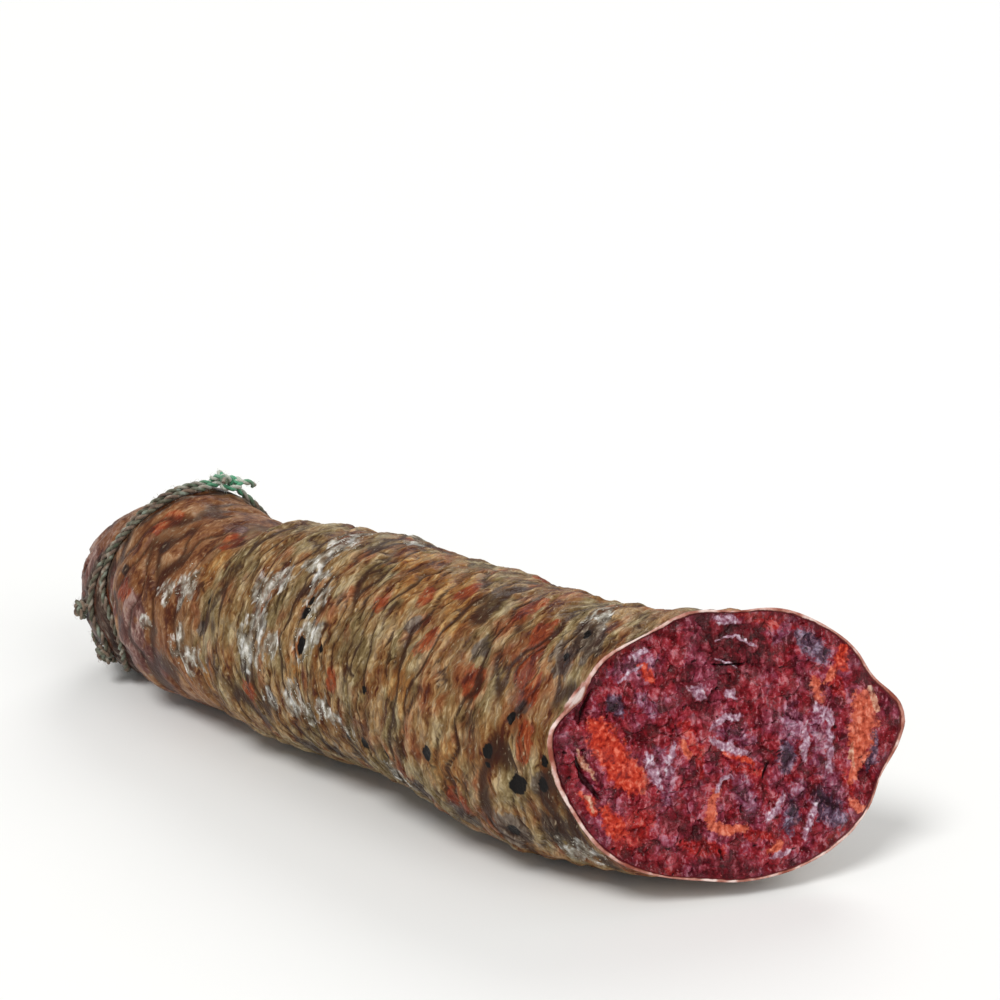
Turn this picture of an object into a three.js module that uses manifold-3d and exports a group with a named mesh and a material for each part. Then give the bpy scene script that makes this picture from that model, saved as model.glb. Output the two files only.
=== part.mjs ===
// A half of a cured sausage: a thick dry sausage in its natural casing, cut obliquely at one end
// and tied at the other. Millimetres, +X along the sausage to its cut end, +Z up.
// It lies on its own weight, so its underside is pressed flat where it rests.

import * as THREE from 'three';
import { mergeVertices } from 'three/addons/utils/BufferGeometryUtils.js';
import Module from 'manifold-3d';

const wasm = await Module();
wasm.setup();

// Driving dimensions of the body
const bodyLength = 196;        // along the middle, from the nose to the middle of the cut
const noseLength = 32;         // stretch over which the closed end rounds off
const noseBluntness = 3.1;     // 2 is a round end, more is a blunter one
const heightShare = 0.97;      // height of a section for its width
const tiltReach = 14;          // a section's tilt is taken over this much of the middle, each way
const cutYaw = 31;             // degrees that the cut faces to the front
const cutTilt = 15;            // degrees that the cut faces up
const restHeight = 0.4;        // of the surface it rests on, which presses its underside flat
const skinThickness = 1.2;     // the casing with the dry edge that peels off with it
const gap = 0.3;               // between pieces that touch

// The middle at eleven equal steps from the nose to the cut: side, height and radius
const stations = [
  [-2.0, 14.5, 26.0],
  [6.0, 23.5, 23.5],
  [1.0, 25.0, 25.5],
  [-0.5, 25.5, 24.5],
  [-1.0, 26.5, 27.0],
  [-0.5, 28.5, 28.0],
  [-2.0, 29.5, 27.0],
  [-3.5, 29.0, 28.0],
  [-3.0, 27.5, 29.0],
  [0.0, 28.0, 28.5],
  [3.0, 31.5, 29.2],
];

// Where the body stands out or dips: distance from the nose, degrees round (0 back, 90 top,
// 180 front, 270 under), amount, and how far it spreads along and round
const swells = [
  { along: 30, round: 86, amount: 4.2, spread: 9, fan: 45 },     // hump beside the tie
  { along: 9, round: 270, amount: 0.7, spread: 8, fan: 40 },     // underside of the nose
  { along: 71, round: 85, amount: 1.2, spread: 5, fan: 60 },     // roll beyond the waist
  { along: 80, round: 97, amount: 1.4, spread: 6, fan: 43 },     // next roll
  { along: 219, round: 356, amount: 1.3, spread: 14, fan: 11 },  // corner at the cut's back
  { along: 217, round: 15, amount: -1.2, spread: 14, fan: 11 },
  { along: 218, round: 329, amount: -1.0, spread: 14, fan: 11 },
  { along: 198, round: 74, amount: -0.7, spread: 12, fan: 10 },
  { along: 187, round: 101, amount: -0.7, spread: 12, fan: 11 },
  { along: 174, round: 140, amount: -1.2, spread: 11, fan: 12 }, // dent at the cut's front
  { along: 173, round: 158, amount: 0.9, spread: 10, fan: 10 },
  { along: 176, round: 192, amount: -0.5, spread: 12, fan: 12 },
  { along: 192, round: 250, amount: -0.8, spread: 12, fan: 12 },
  { along: 206, round: 286, amount: 0.4, spread: 14, fan: 16 },
];

// Broad wrinkles across the body, each a wave along it that slants and bends as it goes round
const wrinkles = [
  { length: 17, height: 0.28, slant: 5.0, bend: 2.2, turn: 0.6 },
  { length: 12, height: 0.22, slant: -3.0, bend: 1.6, turn: 2.1 },
];
const wrinkleStart = [36, 50];   // wrinkles fade in over this stretch, clear of the tie
const bellyFan = 34;             // degrees either side of the underside that are pressed smooth

// Gathered pleats that close the nose
const pleatCount = 8;
const pleatHeight = 0.7;
const pleatStart = [0, 0.3];     // pleats rise out of the pole over this stretch
const pleatFade = [0.5, 1.6];    // and fade out over this one

// Cobbled cut face: two waves across each other, each bent by the other
const cobbleHeight = 0.35;
const cobbleSize = 7;
const cobbleBend = 1.1;
const cobbleBendRate = 0.65;     // of the wave that bends for the one that is bent

// How finely the surfaces are divided
const aroundSteps = 48;
const noseRings = 8;
const outerRings = 36;
const innerRings = 18;
const faceRings = 5;
const cutSteps = 14;             // steps that find where a lengthwise line meets the cut

// Twine
const twineRadius = 0.9;
const twineSides = 6;
const twineStep = 3.6;
const twineSlack = 0.15;       // the twine's steps cut its bends by this much
const twineLift = twineRadius + gap + twineSlack;    // middle of the twine above the casing
const knotRadius = 2.6;
const knotSteps = 30;
const hitchRadius = 1.5;
const hitchTube = 0.7;
const hitchSteps = 24;
const knotSides = 5;
const knotTurns = [2, 3];      // round its axis, and through its middle
const knotClearance = 0.1;

// Routes of the twine over the casing: distance from the nose and degrees round
const wrapRoutes = [
  [
    [32, 72], [31, 86], [30.6, 101], [28.5, 118], [23.5, 131], [17, 142], [12, 152],
    [9.3, 164], [8, 178], [8.5, 190], [7.5, 200], [5.4, 210], [2.8, 225], [1, 248], [0.5, 270],
    [1, 292], [3, 312], [7.5, 330], [14.5, 348], [22.5, 370], [28, 394], [31, 415], [32, 432],
  ],
  [
    [32, 72], [33.6, 86], [33.2, 101], [31.4, 118], [27, 131], [21, 142], [17, 153],
    [15.4, 164], [16.4, 175], [17.4, 186], [15.5, 199], [11, 212], [6.2, 228], [2.4, 248],
    [1.3, 270], [2.3, 292], [5.8, 312], [10.8, 330], [18, 348], [26, 370], [31.5, 394], [33.6, 415],
    [32, 432],
  ],
];

// Two strands cross over the nose from side to side, the second above the first
const noseStrands = [
  { from: [9.4, 165], to: [9, 334], hitch: [5, 165], cross: 0 },
  { from: [7.2, 203], to: [25, 14], hitch: [5.2, 205], cross: 1.5 },
];
const climb = [0.3, 1.6, 4, 8, 13, 19];    // their points, as distances from the nose
const crossFan = 1.5;          // stretch over which one strand rises above the other

// The tie's two loose ends, from its middle: round, along and out
const tieEnds = [
  [[0, 0, 0], [2.5, 2.6, 0.8], [4.2, 5.2, 1.2], [4.6, 7.4, 0.6]],
  [[0, 0, 0], [-2.4, 2.0, 1.0], [-5.2, 2.6, 1.6], [-7.2, 1.6, 0.9]],
];

const radians = (degrees) => degrees * Math.PI / 180;

function smoothRise(value, [start, end]) {
  const share = THREE.MathUtils.clamp((value - start) / (end - start), 0, 1);
  return share * share * (3 - 2 * share);
}

function bell(value, width) {
  return Math.exp(-((value / width) ** 2));
}

function turnBetween(a, b) {
  return ((a - b) % 360 + 540) % 360 - 180;
}

// One column of a table of values at equal steps, as a smooth curve that runs on straight
// past both ends
function smoothValue(rows, column, share) {
  const last = rows.length - 1;
  const at = (i) => {
    if (i < 0) return 2 * rows[0][column] - rows[1][column];
    if (i > last) return 2 * rows[last][column] - rows[last - 1][column];
    return rows[i][column];
  };
  const place = THREE.MathUtils.clamp(share, 0, 1) * last;
  const i = Math.min(Math.floor(place), last - 1);
  const f = place - i;
  const [a, b, c, d] = [at(i - 1), at(i), at(i + 1), at(i + 2)];
  const bent = 0.5 * (2 * b + (c - a) * f + (2 * a - 5 * b + 4 * c - d) * f ** 2
    + (3 * b - a - 3 * c + d) * f ** 3);
  const endSlope = 0.5 * (at(last + 1) - at(last - 1));
  return bent + Math.max(share - 1, 0) * last * endSlope;
}

function middle(along) {
  const share = along / bodyLength;
  const side = smoothValue(stations, 0, share);
  const height = smoothValue(stations, 1, share);
  return new THREE.Vector3(along - bodyLength / 2, side, height);
}

// A section's directions: onward, to the back and up
function sectionFrame(along) {
  const onward = middle(along + tiltReach).sub(middle(Math.max(along - tiltReach, 0))).normalize();
  const back = new THREE.Vector3(-onward.y, onward.x, 0).normalize();
  const up = new THREE.Vector3().crossVectors(onward, back);
  return { onward, back, up };
}

function bareSurface(along, round) {
  const { back, up } = sectionFrame(along);
  const left = THREE.MathUtils.clamp(1 - along / noseLength, 0, 1);
  const cap = (1 - left ** noseBluntness) ** (1 / noseBluntness);
  let radius = smoothValue(stations, 2, along / bodyLength);
  for (const swell of swells) {
    radius += swell.amount * bell(along - swell.along, swell.spread)
      * bell(turnBetween(round, swell.round), swell.fan);
  }
  const angle = radians(round);
  return middle(along)
    .addScaledVector(back, radius * cap * Math.cos(angle))
    .addScaledVector(up, radius * cap * heightShare * Math.sin(angle));
}

function outward(along, round) {
  if (along < 0.01) return sectionFrame(0).onward.negate();
  const step = Math.min(0.2, along / 2);
  const onward = bareSurface(along + step, round).sub(bareSurface(along - step, round));
  const sideways = bareSurface(along, round + 1).sub(bareSurface(along, round - 1));
  return sideways.cross(onward).normalize();
}

function wrinkleHeight(along, round) {
  const angle = radians(round);
  let height = 0;
  for (const wave of wrinkles) {
    const shifted = along + wave.slant * Math.sin(angle + wave.turn)
      + wave.bend * Math.sin(2 * angle + 2 * wave.turn);
    height += wave.height * Math.sin(2 * Math.PI * shifted / wave.length);
  }
  const belly = 1 - bell(turnBetween(round, 270), bellyFan);
  return height * belly * smoothRise(along, wrinkleStart);
}

function pleatRise(along, round) {
  const fold = 0.5 + 0.5 * Math.cos(radians(round * pleatCount));
  const nearPole = smoothRise(along, pleatStart);
  return pleatHeight * fold * nearPole * (1 - smoothRise(along, pleatFade));
}

// A point of the skin's outside, or of a surface the inset further in; never below what it
// rests on
function skinPoint(along, round, inset) {
  const relief = inset === 0 ? wrinkleHeight(along, round) + pleatRise(along, round) : 0;
  const point = bareSurface(along, round).addScaledVector(outward(along, round), relief - inset);
  point.z = Math.max(point.z, restHeight + inset);
  return point;
}

const cutMiddle = middle(bodyLength);
const cutNormal = new THREE.Vector3(
  Math.cos(radians(cutYaw)) * Math.cos(radians(cutTilt)),
  -Math.sin(radians(cutYaw)) * Math.cos(radians(cutTilt)),
  Math.sin(radians(cutTilt)),
);

// Where a lengthwise line of the surface meets the cut
function cutDistance(round, inset) {
  let along = bodyLength;
  for (let i = 0; i < cutSteps; i += 1) {
    const past = skinPoint(along, round, inset).sub(cutMiddle).dot(cutNormal);
    along -= past / cutNormal.x;
  }
  return along;
}

// Rings of points from the nose to the cut, without the pole at the nose
function skinRings(inset, bodyRings) {
  const rings = [];
  for (let i = 1; i <= noseRings + bodyRings; i += 1) rings.push([]);
  for (let j = 0; j < aroundSteps; j += 1) {
    const round = j * 360 / aroundSteps;
    const cut = cutDistance(round, inset);
    for (let i = 1; i <= noseRings; i += 1) {
      const angle = i / noseRings * Math.PI / 2;
      const along = noseLength * (1 - Math.cos(angle) ** (2 / noseBluntness));
      rings[i - 1].push(skinPoint(along, round, inset));
    }
    for (let i = 1; i <= bodyRings; i += 1) {
      const along = noseLength + (cut - noseLength) * i / bodyRings;
      rings[noseRings + i - 1].push(skinPoint(along, round, inset));
    }
  }
  return rings;
}

// Closed surface through rings, closed to a point before the first ring and after the last
function closedSurface(first, rings, last) {
  const points = [first, ...rings.flat(), last];
  const count = rings[0].length;
  const corners = [];
  const at = (i, j) => 1 + i * count + j % count;
  const end = points.length - 1;
  for (let j = 0; j < count; j += 1) {
    corners.push(0, at(0, j), at(0, j + 1));
    for (let i = 0; i + 1 < rings.length; i += 1) {
      corners.push(at(i, j), at(i + 1, j), at(i + 1, j + 1));
      corners.push(at(i, j), at(i + 1, j + 1), at(i, j + 1));
    }
    corners.push(at(rings.length - 1, j), end, at(rings.length - 1, j + 1));
  }
  const geometry = new THREE.BufferGeometry().setFromPoints(points);
  geometry.setIndex(corners);
  return facingOut(geometry);
}

function signedVolume(geometry) {
  const position = geometry.getAttribute('position');
  const index = geometry.getIndex();
  const [a, b, c] = [new THREE.Vector3(), new THREE.Vector3(), new THREE.Vector3()];
  let volume = 0;
  for (let i = 0; i < index.count; i += 3) {
    a.fromBufferAttribute(position, index.getX(i));
    b.fromBufferAttribute(position, index.getX(i + 1));
    c.fromBufferAttribute(position, index.getX(i + 2));
    volume += a.dot(b.cross(c)) / 6;
  }
  return volume;
}

function facingOut(geometry) {
  if (signedVolume(geometry) < 0) {
    geometry.setIndex(Array.from(geometry.getIndex().array).reverse());
  }
  return geometry;
}

// The skin: its outside from the nose to the cut, the cut's rim, and its inside back to the nose
function casing() {
  const outside = skinRings(0, outerRings);
  const inside = skinRings(skinThickness, innerRings);
  const rings = [...outside, ...inside.reverse()];
  return closedSurface(skinPoint(0, 0, 0), rings, skinPoint(0, 0, skinThickness));
}

function cobble(point) {
  const u = point.y / cobbleSize * 2 * Math.PI;
  const v = point.z / cobbleSize * 2 * Math.PI;
  const across = Math.sin(u + cobbleBend * Math.sin(v * cobbleBendRate));
  const upward = Math.cos(v + cobbleBend * Math.sin(u * cobbleBendRate));
  return cobbleHeight * across * upward;
}

// The meat, a gap inside the skin, with its cut face
function filling() {
  const inset = skinThickness + gap;
  const rings = skinRings(inset, innerRings);
  const rim = rings[rings.length - 1];
  for (let i = 1; i < faceRings; i += 1) {
    const ring = rim.map((corner) => {
      const point = corner.clone().lerp(cutMiddle, i / faceRings);
      return point.addScaledVector(cutNormal, cobble(point));
    });
    rings.push(ring);
  }
  return closedSurface(skinPoint(0, 0, inset), rings, cutMiddle.clone());
}

function toSolid(geometry) {
  const bare = new THREE.BufferGeometry();
  bare.setAttribute('position', geometry.getAttribute('position'));
  bare.setIndex(geometry.getIndex());
  const merged = facingOut(mergeVertices(bare, 1e-4));
  return new wasm.Manifold(new wasm.Mesh({
    numProp: 3,
    vertProperties: new Float32Array(merged.getAttribute('position').array),
    triVerts: new Uint32Array(merged.getIndex().array),
  }));
}

function toGeometry(solid) {
  const { vertProperties, triVerts } = solid.getMesh();
  const geometry = new THREE.BufferGeometry();
  geometry.setAttribute('position', new THREE.BufferAttribute(vertProperties, 3));
  geometry.setIndex(new THREE.BufferAttribute(triVerts, 1));
  return geometry;
}

// A length of twine through points
function strand(points) {
  const path = new THREE.CatmullRomCurve3(points, false, 'centripetal');
  const section = new THREE.Shape();
  for (let i = 0; i < twineSides; i += 1) {
    const angle = 2 * Math.PI * i / twineSides;
    const corner = [twineRadius * Math.cos(angle), twineRadius * Math.sin(angle)];
    if (i === 0) section.moveTo(...corner);
    else section.lineTo(...corner);
  }
  section.closePath();
  const steps = Math.max(3, Math.round(path.getLength() / twineStep));
  const extrude = { steps, extrudePath: path, bevelEnabled: false, curveSegments: 1 };
  return toSolid(new THREE.ExtrudeGeometry(section, extrude));
}

function aboveSkin(along, round, lift) {
  return bareSurface(along, round).addScaledVector(outward(along, round), lift);
}

// The middle of twine that lies on the casing, over its pleats
function laidPoint(along, round, extra = 0) {
  const overPleats = pleatHeight * (1 - smoothRise(along, pleatFade));
  return aboveSkin(along, round, twineLift + overPleats + extra);
}

// A turn round the end, its ends inside the tie
function wrap(route) {
  const start = tieMiddle();
  const end = start.clone().add(new THREE.Vector3(0, twineRadius / 2, 0));
  return strand([start, ...route.slice(1, -1).map(([along, round]) => laidPoint(along, round)), end]);
}

// From one side of the wraps over the nose to the other
function noseStrand({ from, to, cross }) {
  const point = (along, round) => laidPoint(along, round, cross * bell(along, crossFan));
  const side = ([end, round]) => {
    const before = climb.filter((along) => along < end - twineRadius);
    return [...before, end].map((along) => point(along, round));
  };
  return strand([...side(from).reverse(), point(0, 0), ...side(to)]);
}

// Directions at a point of the skin: round, along and out
function skinFrame(along, round) {
  const out = outward(along, round);
  const across = bareSurface(along, round + 1).sub(bareSurface(along, round - 1)).normalize();
  const onward = new THREE.Vector3().crossVectors(out, across);
  return { across, onward, out };
}

function knot(along, round, radius, tube, segments) {
  const { across, onward, out } = skinFrame(along, round);
  const height = gap + tube + radius / 2 + knotClearance;
  const shape = new THREE.TorusKnotGeometry(radius, tube, segments, knotSides, ...knotTurns);
  shape.applyMatrix4(new THREE.Matrix4().makeBasis(across, onward, out));
  shape.translate(...aboveSkin(along, round, height));
  return toSolid(shape);
}

function tieMiddle() {
  const [along, round] = wrapRoutes[0][0];
  return aboveSkin(along, round, gap + twineRadius + knotRadius / 2);
}

function tieEnd(offsets) {
  const { across, onward, out } = skinFrame(...wrapRoutes[0][0]);
  const points = offsets.map(([round, along, away]) => tieMiddle()
    .addScaledVector(across, round)
    .addScaledVector(onward, along)
    .addScaledVector(out, away));
  return strand(points);
}

// All the twine: two turns, two strands over the nose, their hitches, and the tie with its ends
function twine() {
  const pieces = [
    ...wrapRoutes.map(wrap),
    ...noseStrands.map(noseStrand),
    ...noseStrands.map(({ hitch }) => knot(...hitch, hitchRadius, hitchTube, hitchSteps)),
    knot(...wrapRoutes[0][0], knotRadius, twineRadius, knotSteps),
    ...tieEnds.map(tieEnd),
  ];
  return toGeometry(pieces.reduce((whole, piece) => whole.add(piece)));
}

function node(name, geometry, look) {
  const mesh = new THREE.Mesh(geometry, new THREE.MeshStandardMaterial(look));
  mesh.name = name;
  return mesh;
}

const sausage = new THREE.Group();
sausage.add(node('casing', casing(), { color: 0x7a5a3c, roughness: 0.6, metalness: 0 }));
sausage.add(node('filling', filling(), { color: 0x6e1f24, roughness: 0.45, metalness: 0 }));
sausage.add(node('twine', twine(), { color: 0xb9c4ae, roughness: 0.85, metalness: 0 }));

// The origin is the middle of the underside of the whole
const extent = new THREE.Box3().setFromObject(sausage);
const centre = extent.getCenter(new THREE.Vector3());
sausage.position.set(-centre.x, -centre.y, -extent.min.z);

export default sausage;
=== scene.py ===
import math
from functools import partial
from itertools import product

import bpy
import numpy as np
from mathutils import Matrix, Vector


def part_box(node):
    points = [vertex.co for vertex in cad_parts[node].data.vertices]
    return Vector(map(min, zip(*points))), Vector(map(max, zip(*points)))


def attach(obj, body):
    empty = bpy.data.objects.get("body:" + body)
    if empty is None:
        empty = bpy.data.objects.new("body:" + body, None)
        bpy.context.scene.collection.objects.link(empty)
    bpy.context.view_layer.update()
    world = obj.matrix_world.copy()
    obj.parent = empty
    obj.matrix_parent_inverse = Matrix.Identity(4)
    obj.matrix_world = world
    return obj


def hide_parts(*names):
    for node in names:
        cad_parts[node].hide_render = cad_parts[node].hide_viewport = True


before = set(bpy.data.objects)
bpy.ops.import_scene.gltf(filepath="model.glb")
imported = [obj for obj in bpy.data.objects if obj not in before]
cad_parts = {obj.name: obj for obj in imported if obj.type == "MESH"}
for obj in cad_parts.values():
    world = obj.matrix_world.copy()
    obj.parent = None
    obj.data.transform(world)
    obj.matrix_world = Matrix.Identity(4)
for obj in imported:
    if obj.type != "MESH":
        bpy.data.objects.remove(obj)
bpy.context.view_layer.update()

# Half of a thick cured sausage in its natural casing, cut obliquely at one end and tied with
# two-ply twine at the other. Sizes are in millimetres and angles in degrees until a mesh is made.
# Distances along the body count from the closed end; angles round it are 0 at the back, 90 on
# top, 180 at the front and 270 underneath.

mm = 0.001

body = {
    "length": 196.0,             # along the middle, from the nose to the middle of the cut
    "noseLength": 32.0,          # stretch over which the closed end rounds off
    "noseBluntness": 3.1,
    "heightShare": 0.97,         # the section is this much lower than wide
    "tiltReach": 14.0,           # the section is square to the middle line over this reach
    "cutYaw": 31.0,              # the cut faces this far to the front
    "cutTilt": 15.0,             # and this far up
    "restHeight": 0.4,
    "skinThickness": 1.2,
    "meatInset": 0.78,           # the meat reaches just into the skin at the cut
    "meatSideInset": 2.3,        # further in, so that no crease of the skin shows it
    "stations": [                # side, height and radius at equal steps
        (-2.0, 14.5, 26.0), (6.0, 23.5, 23.5), (1.0, 25.0, 25.5), (-0.5, 25.5, 24.5),
        (-1.0, 26.5, 27.0), (-0.5, 28.5, 28.0), (-2.0, 29.5, 27.0), (-3.5, 29.0, 28.0),
        (-3.0, 27.5, 29.0), (0.0, 28.0, 28.5), (3.0, 31.5, 29.2),
    ],
    "swells": [                  # along, round, amount, spread, fan
        (30, 86, 4.2, 9, 45), (9, 270, 0.7, 8, 40), (71, 85, 1.2, 5, 60), (80, 97, 1.4, 6, 43),
        (219, 356, 1.3, 14, 11), (217, 15, -1.2, 14, 11), (218, 329, -1.0, 14, 11),
        (198, 74, -0.7, 12, 10), (187, 101, -0.7, 12, 11), (174, 140, -1.2, 11, 12),
        (173, 158, 0.9, 10, 10), (176, 192, -0.5, 12, 12), (192, 250, -0.8, 12, 12),
        (206, 286, 0.4, 14, 16),
    ],
    "wrinkles": [                # length, height, slant, bend, turn
        (17.0, 0.28, 5.0, 2.2, 0.6), (12.0, 0.22, -3.0, 1.6, 2.1),
    ],
    "wrinkleStart": (36.0, 50.0),
    "bellyFan": 34.0,            # no wrinkles this near the underside
    "pleatCount": 8,
    "pleatHeight": 0.7,
    "pleatStart": (0.0, 0.3),
    "pleatFade": (0.5, 1.6),
    "cobbleHeight": 0.35,
    "cobbleSize": 7.0,
    "cobbleBend": 1.1,
    "cobbleBendRate": 0.65,
}


def smoothRise(value, start, end):
    share = np.clip((value - start) / (end - start), 0.0, 1.0)
    return share * share * (3.0 - 2.0 * share)


def bell(value, width):
    return np.exp(-((value / width) ** 2))


def turnBetween(a, b):
    return (a - b + 540.0) % 360.0 - 180.0


def unit(vectors):
    return vectors / np.linalg.norm(vectors, axis=-1, keepdims=True)


def smoothValue(column, share):
    inner = np.array([row[column] for row in body["stations"]])
    before = 2.0 * inner[0] - inner[1]
    after = 2.0 * inner[-1] - inner[-2]
    rows = np.concatenate(([before], inner, [after]))
    last = len(inner) - 1
    place = np.clip(share, 0.0, 1.0) * last
    i = np.minimum(np.floor(place).astype(int), last - 1)
    f = place - i
    a, b, c, d = rows[i], rows[i + 1], rows[i + 2], rows[i + 3]
    bent = 0.5 * (2 * b + (c - a) * f + (2 * a - 5 * b + 4 * c - d) * f ** 2
                  + (3 * b - a - 3 * c + d) * f ** 3)
    endSlope = 0.5 * (after - inner[-2])
    return bent + np.maximum(share - 1.0, 0.0) * last * endSlope


def middle(along):
    share = along / body["length"]
    return np.stack([along - body["length"] / 2, smoothValue(0, share), smoothValue(1, share)], -1)


def sectionFrame(along):
    reach = body["tiltReach"]
    onward = unit(middle(along + reach) - middle(np.maximum(along - reach, 0.0)))
    back = unit(np.stack([-onward[..., 1], onward[..., 0], np.zeros_like(along)], -1))
    return onward, back, np.cross(onward, back)


def noseCap(along):
    left = np.clip(1.0 - along / body["noseLength"], 0.0, 1.0)
    return (1.0 - left ** body["noseBluntness"]) ** (1.0 / body["noseBluntness"])


def bareSurface(along, around):
    _, back, up = sectionFrame(along)
    radius = smoothValue(2, along / body["length"])
    for place, turn, amount, spread, fan in body["swells"]:
        radius = radius + amount * bell(along - place, spread) * bell(turnBetween(around, turn), fan)
    radius = radius * noseCap(along)
    angle = np.radians(around)
    sideways = (radius * np.cos(angle))[..., None] * back
    upward = (radius * body["heightShare"] * np.sin(angle))[..., None] * up
    return middle(along) + sideways + upward


def outward(along, around):
    step = np.clip(along / 2.0, 1e-4, 0.2)
    onward = bareSurface(along + step, around) - bareSurface(along - step, around)
    sideways = bareSurface(along, around + 1.0) - bareSurface(along, around - 1.0)
    out = np.cross(sideways, onward)
    atPole = along < 0.01
    out[atPole] = -sectionFrame(np.zeros(1))[0]
    return unit(out)


def wrinkleHeight(along, around):
    angle = np.radians(around)
    height = np.zeros_like(along)
    for length, tall, slant, bend, turn in body["wrinkles"]:
        shifted = along + slant * np.sin(angle + turn) + bend * np.sin(2 * angle + 2 * turn)
        height = height + tall * np.sin(2 * np.pi * shifted / length)
    belly = 1.0 - bell(turnBetween(around, 270.0), body["bellyFan"])
    return height * belly * smoothRise(along, *body["wrinkleStart"])


def pleatRise(along, around):
    fold = 0.5 + 0.5 * np.cos(np.radians(around * body["pleatCount"]))
    nearPole = smoothRise(along, *body["pleatStart"]) * (1.0 - smoothRise(along, *body["pleatFade"]))
    return body["pleatHeight"] * fold * nearPole


# The outside of the skin without its fine relief, or a surface the inset further in, which
# the wrinkles reach less
def skinPoint(along, around, inset=0.0, relief=0.0):
    reached = np.clip(1.0 - inset / body["skinThickness"], 0.0, 1.0)
    folded = reached * (wrinkleHeight(along, around) + pleatRise(along, around))
    shift = (relief + folded - inset) * np.ones_like(along)
    point = bareSurface(along, around) + shift[..., None] * outward(along, around)
    point[..., 2] = np.maximum(point[..., 2], body["restHeight"] + inset)
    return point


yaw, tilt = math.radians(body["cutYaw"]), math.radians(body["cutTilt"])
cutNormal = np.array([math.cos(yaw) * math.cos(tilt), -math.sin(yaw) * math.cos(tilt), math.sin(tilt)])
cutAcross = unit(np.cross([0.0, 0.0, 1.0], cutNormal))    # to the right on the cut face
cutUp = np.cross(cutNormal, cutAcross)
cutMiddle = middle(np.array([body["length"]]))[0]


# Where a lengthwise line of the surface meets the cut
def cutDistance(around, inset=0.0):
    along = np.full(np.shape(around), body["length"])
    for _ in range(14):
        past = (skinPoint(along, around, inset) - cutMiddle) @ cutNormal
        along = along - past / cutNormal[0]
    return along


# The form's own coordinates to the frame's: the two low corners of the casing are one point
def formToFrame():
    around = np.arange(0.0, 360.0, 7.5)
    corners = []
    for turn in around:
        lengthwise = np.linspace(0.0, cutDistance(np.array([turn]))[0], 200)
        corners.append(skinPoint(lengthwise, np.full(200, turn)).min(0))
    low = np.min(corners, 0)
    return np.array(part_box("casing")[0]) / mm - low


toFrame = formToFrame()
print("form placed, shift in mm", toFrame.round(3))


# From distances to centres and a number for each: how much nearer the nearest is than the next,
# and its number
def nearestCentre(shape, offers):
    nearest = np.full(shape, 9.0)
    second = np.full(shape, 9.0)
    tone = np.zeros(shape)
    for distance, number in offers:
        closer = distance < nearest
        second = np.where(closer, nearest, np.minimum(second, distance))
        tone = np.where(closer, number, tone)
        nearest = np.where(closer, distance, nearest)
    return second - nearest, tone


class Noise:
    def __init__(self, seed):
        draw = np.random.default_rng(seed)
        self.order = draw.permutation(256)
        self.slopes = unit(draw.normal(size=(256, 3)))

    def mix(self, cells):
        first = self.order[cells[..., 0] & 255]
        second = self.order[(first + cells[..., 1]) & 255]
        return self.order[(second + cells[..., 2]) & 255]

    # smooth noise between about -1 and 1, with features one unit across
    def at(self, points):
        cells = np.floor(points).astype(int)
        part = points - cells
        fade = part ** 3 * (part * (part * 6.0 - 15.0) + 10.0)
        total = np.zeros(points.shape[:-1])
        for corner in product((0, 1), repeat=3):
            corner = np.array(corner)
            slope = self.slopes[self.mix(cells + corner)]
            weight = np.prod(np.where(corner, fade, 1.0 - fade), -1)
            total += weight * np.sum(slope * (part - corner), -1)
        return 1.6 * total

    # how far a point is from the edge of its cell, and a random number for the cell
    def cells(self, points):
        def offers():
            for step in product((-1, 0, 1), repeat=3):
                cell = np.floor(points).astype(int) + np.array(step)
                mixed = self.mix(cell)
                centre = cell + 0.5 + 0.42 * self.slopes[mixed]
                yield np.linalg.norm(points - centre, axis=-1), mixed / 255
        return nearestCentre(points.shape[:-1], offers())


def flatNoise(noise, u, v, size, layer=0.0):
    return noise.at(np.stack([u / size, v / size, np.full_like(u, layer)], -1))


# Faces over rings of points, with one point before the first ring and one after the last
def ringFaces(rings, count):
    at = 1 + np.arange(rings * count).reshape(rings, count)
    nextAt = np.roll(at, -1, 1)
    faces = np.stack([at[:-1], at[1:], nextAt[1:], nextAt[:-1]], -1).reshape(-1, 4).tolist()
    faces += [[0, a, b] for a, b in zip(at[0], nextAt[0])]
    end = rings * count + 1
    return faces + [[end, b, a] for a, b in zip(at[-1], nextAt[-1])]


def linkedObject(name, data):
    holder = bpy.data.objects.new(name, data)
    bpy.context.scene.collection.objects.link(holder)
    return holder


def meshObject(name, points, faces, attributes):
    mesh = bpy.data.meshes.new(name)
    mesh.from_pydata(((points + toFrame) * mm).tolist(), [], faces)
    for key, values in attributes.items():
        kind, slot = ("FLOAT", "value") if values.ndim == 1 else ("FLOAT_VECTOR", "vector")
        layer = mesh.attributes.new(key, kind, "POINT")
        layer.data.foreach_set(slot, values.astype(np.float32).ravel())
    mesh.polygons.foreach_set("use_smooth", [True] * len(mesh.polygons))
    mesh.update()
    turnFacesOut(mesh)
    return linkedObject(name, mesh)


def turnFacesOut(mesh):
    corners = np.zeros(len(mesh.vertices) * 3)
    mesh.vertices.foreach_get("co", corners)
    corners = corners.reshape(-1, 3)
    mesh.calc_loop_triangles()
    triangles = np.zeros(len(mesh.loop_triangles) * 3, int)
    mesh.loop_triangles.foreach_get("vertices", triangles)
    a, b, c = corners[triangles.reshape(-1, 3)].transpose(1, 0, 2)
    if np.sum(a * np.cross(b, c)) < 0:
        mesh.flip_normals()


def colour(text):
    parts = [int(text[i:i + 2], 16) / 255 for i in (1, 3, 5)]
    parts = [c / 12.92 if c <= 0.04045 else ((c + 0.055) / 1.055) ** 2.4 for c in parts]
    return (*parts, 1.0)


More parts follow.
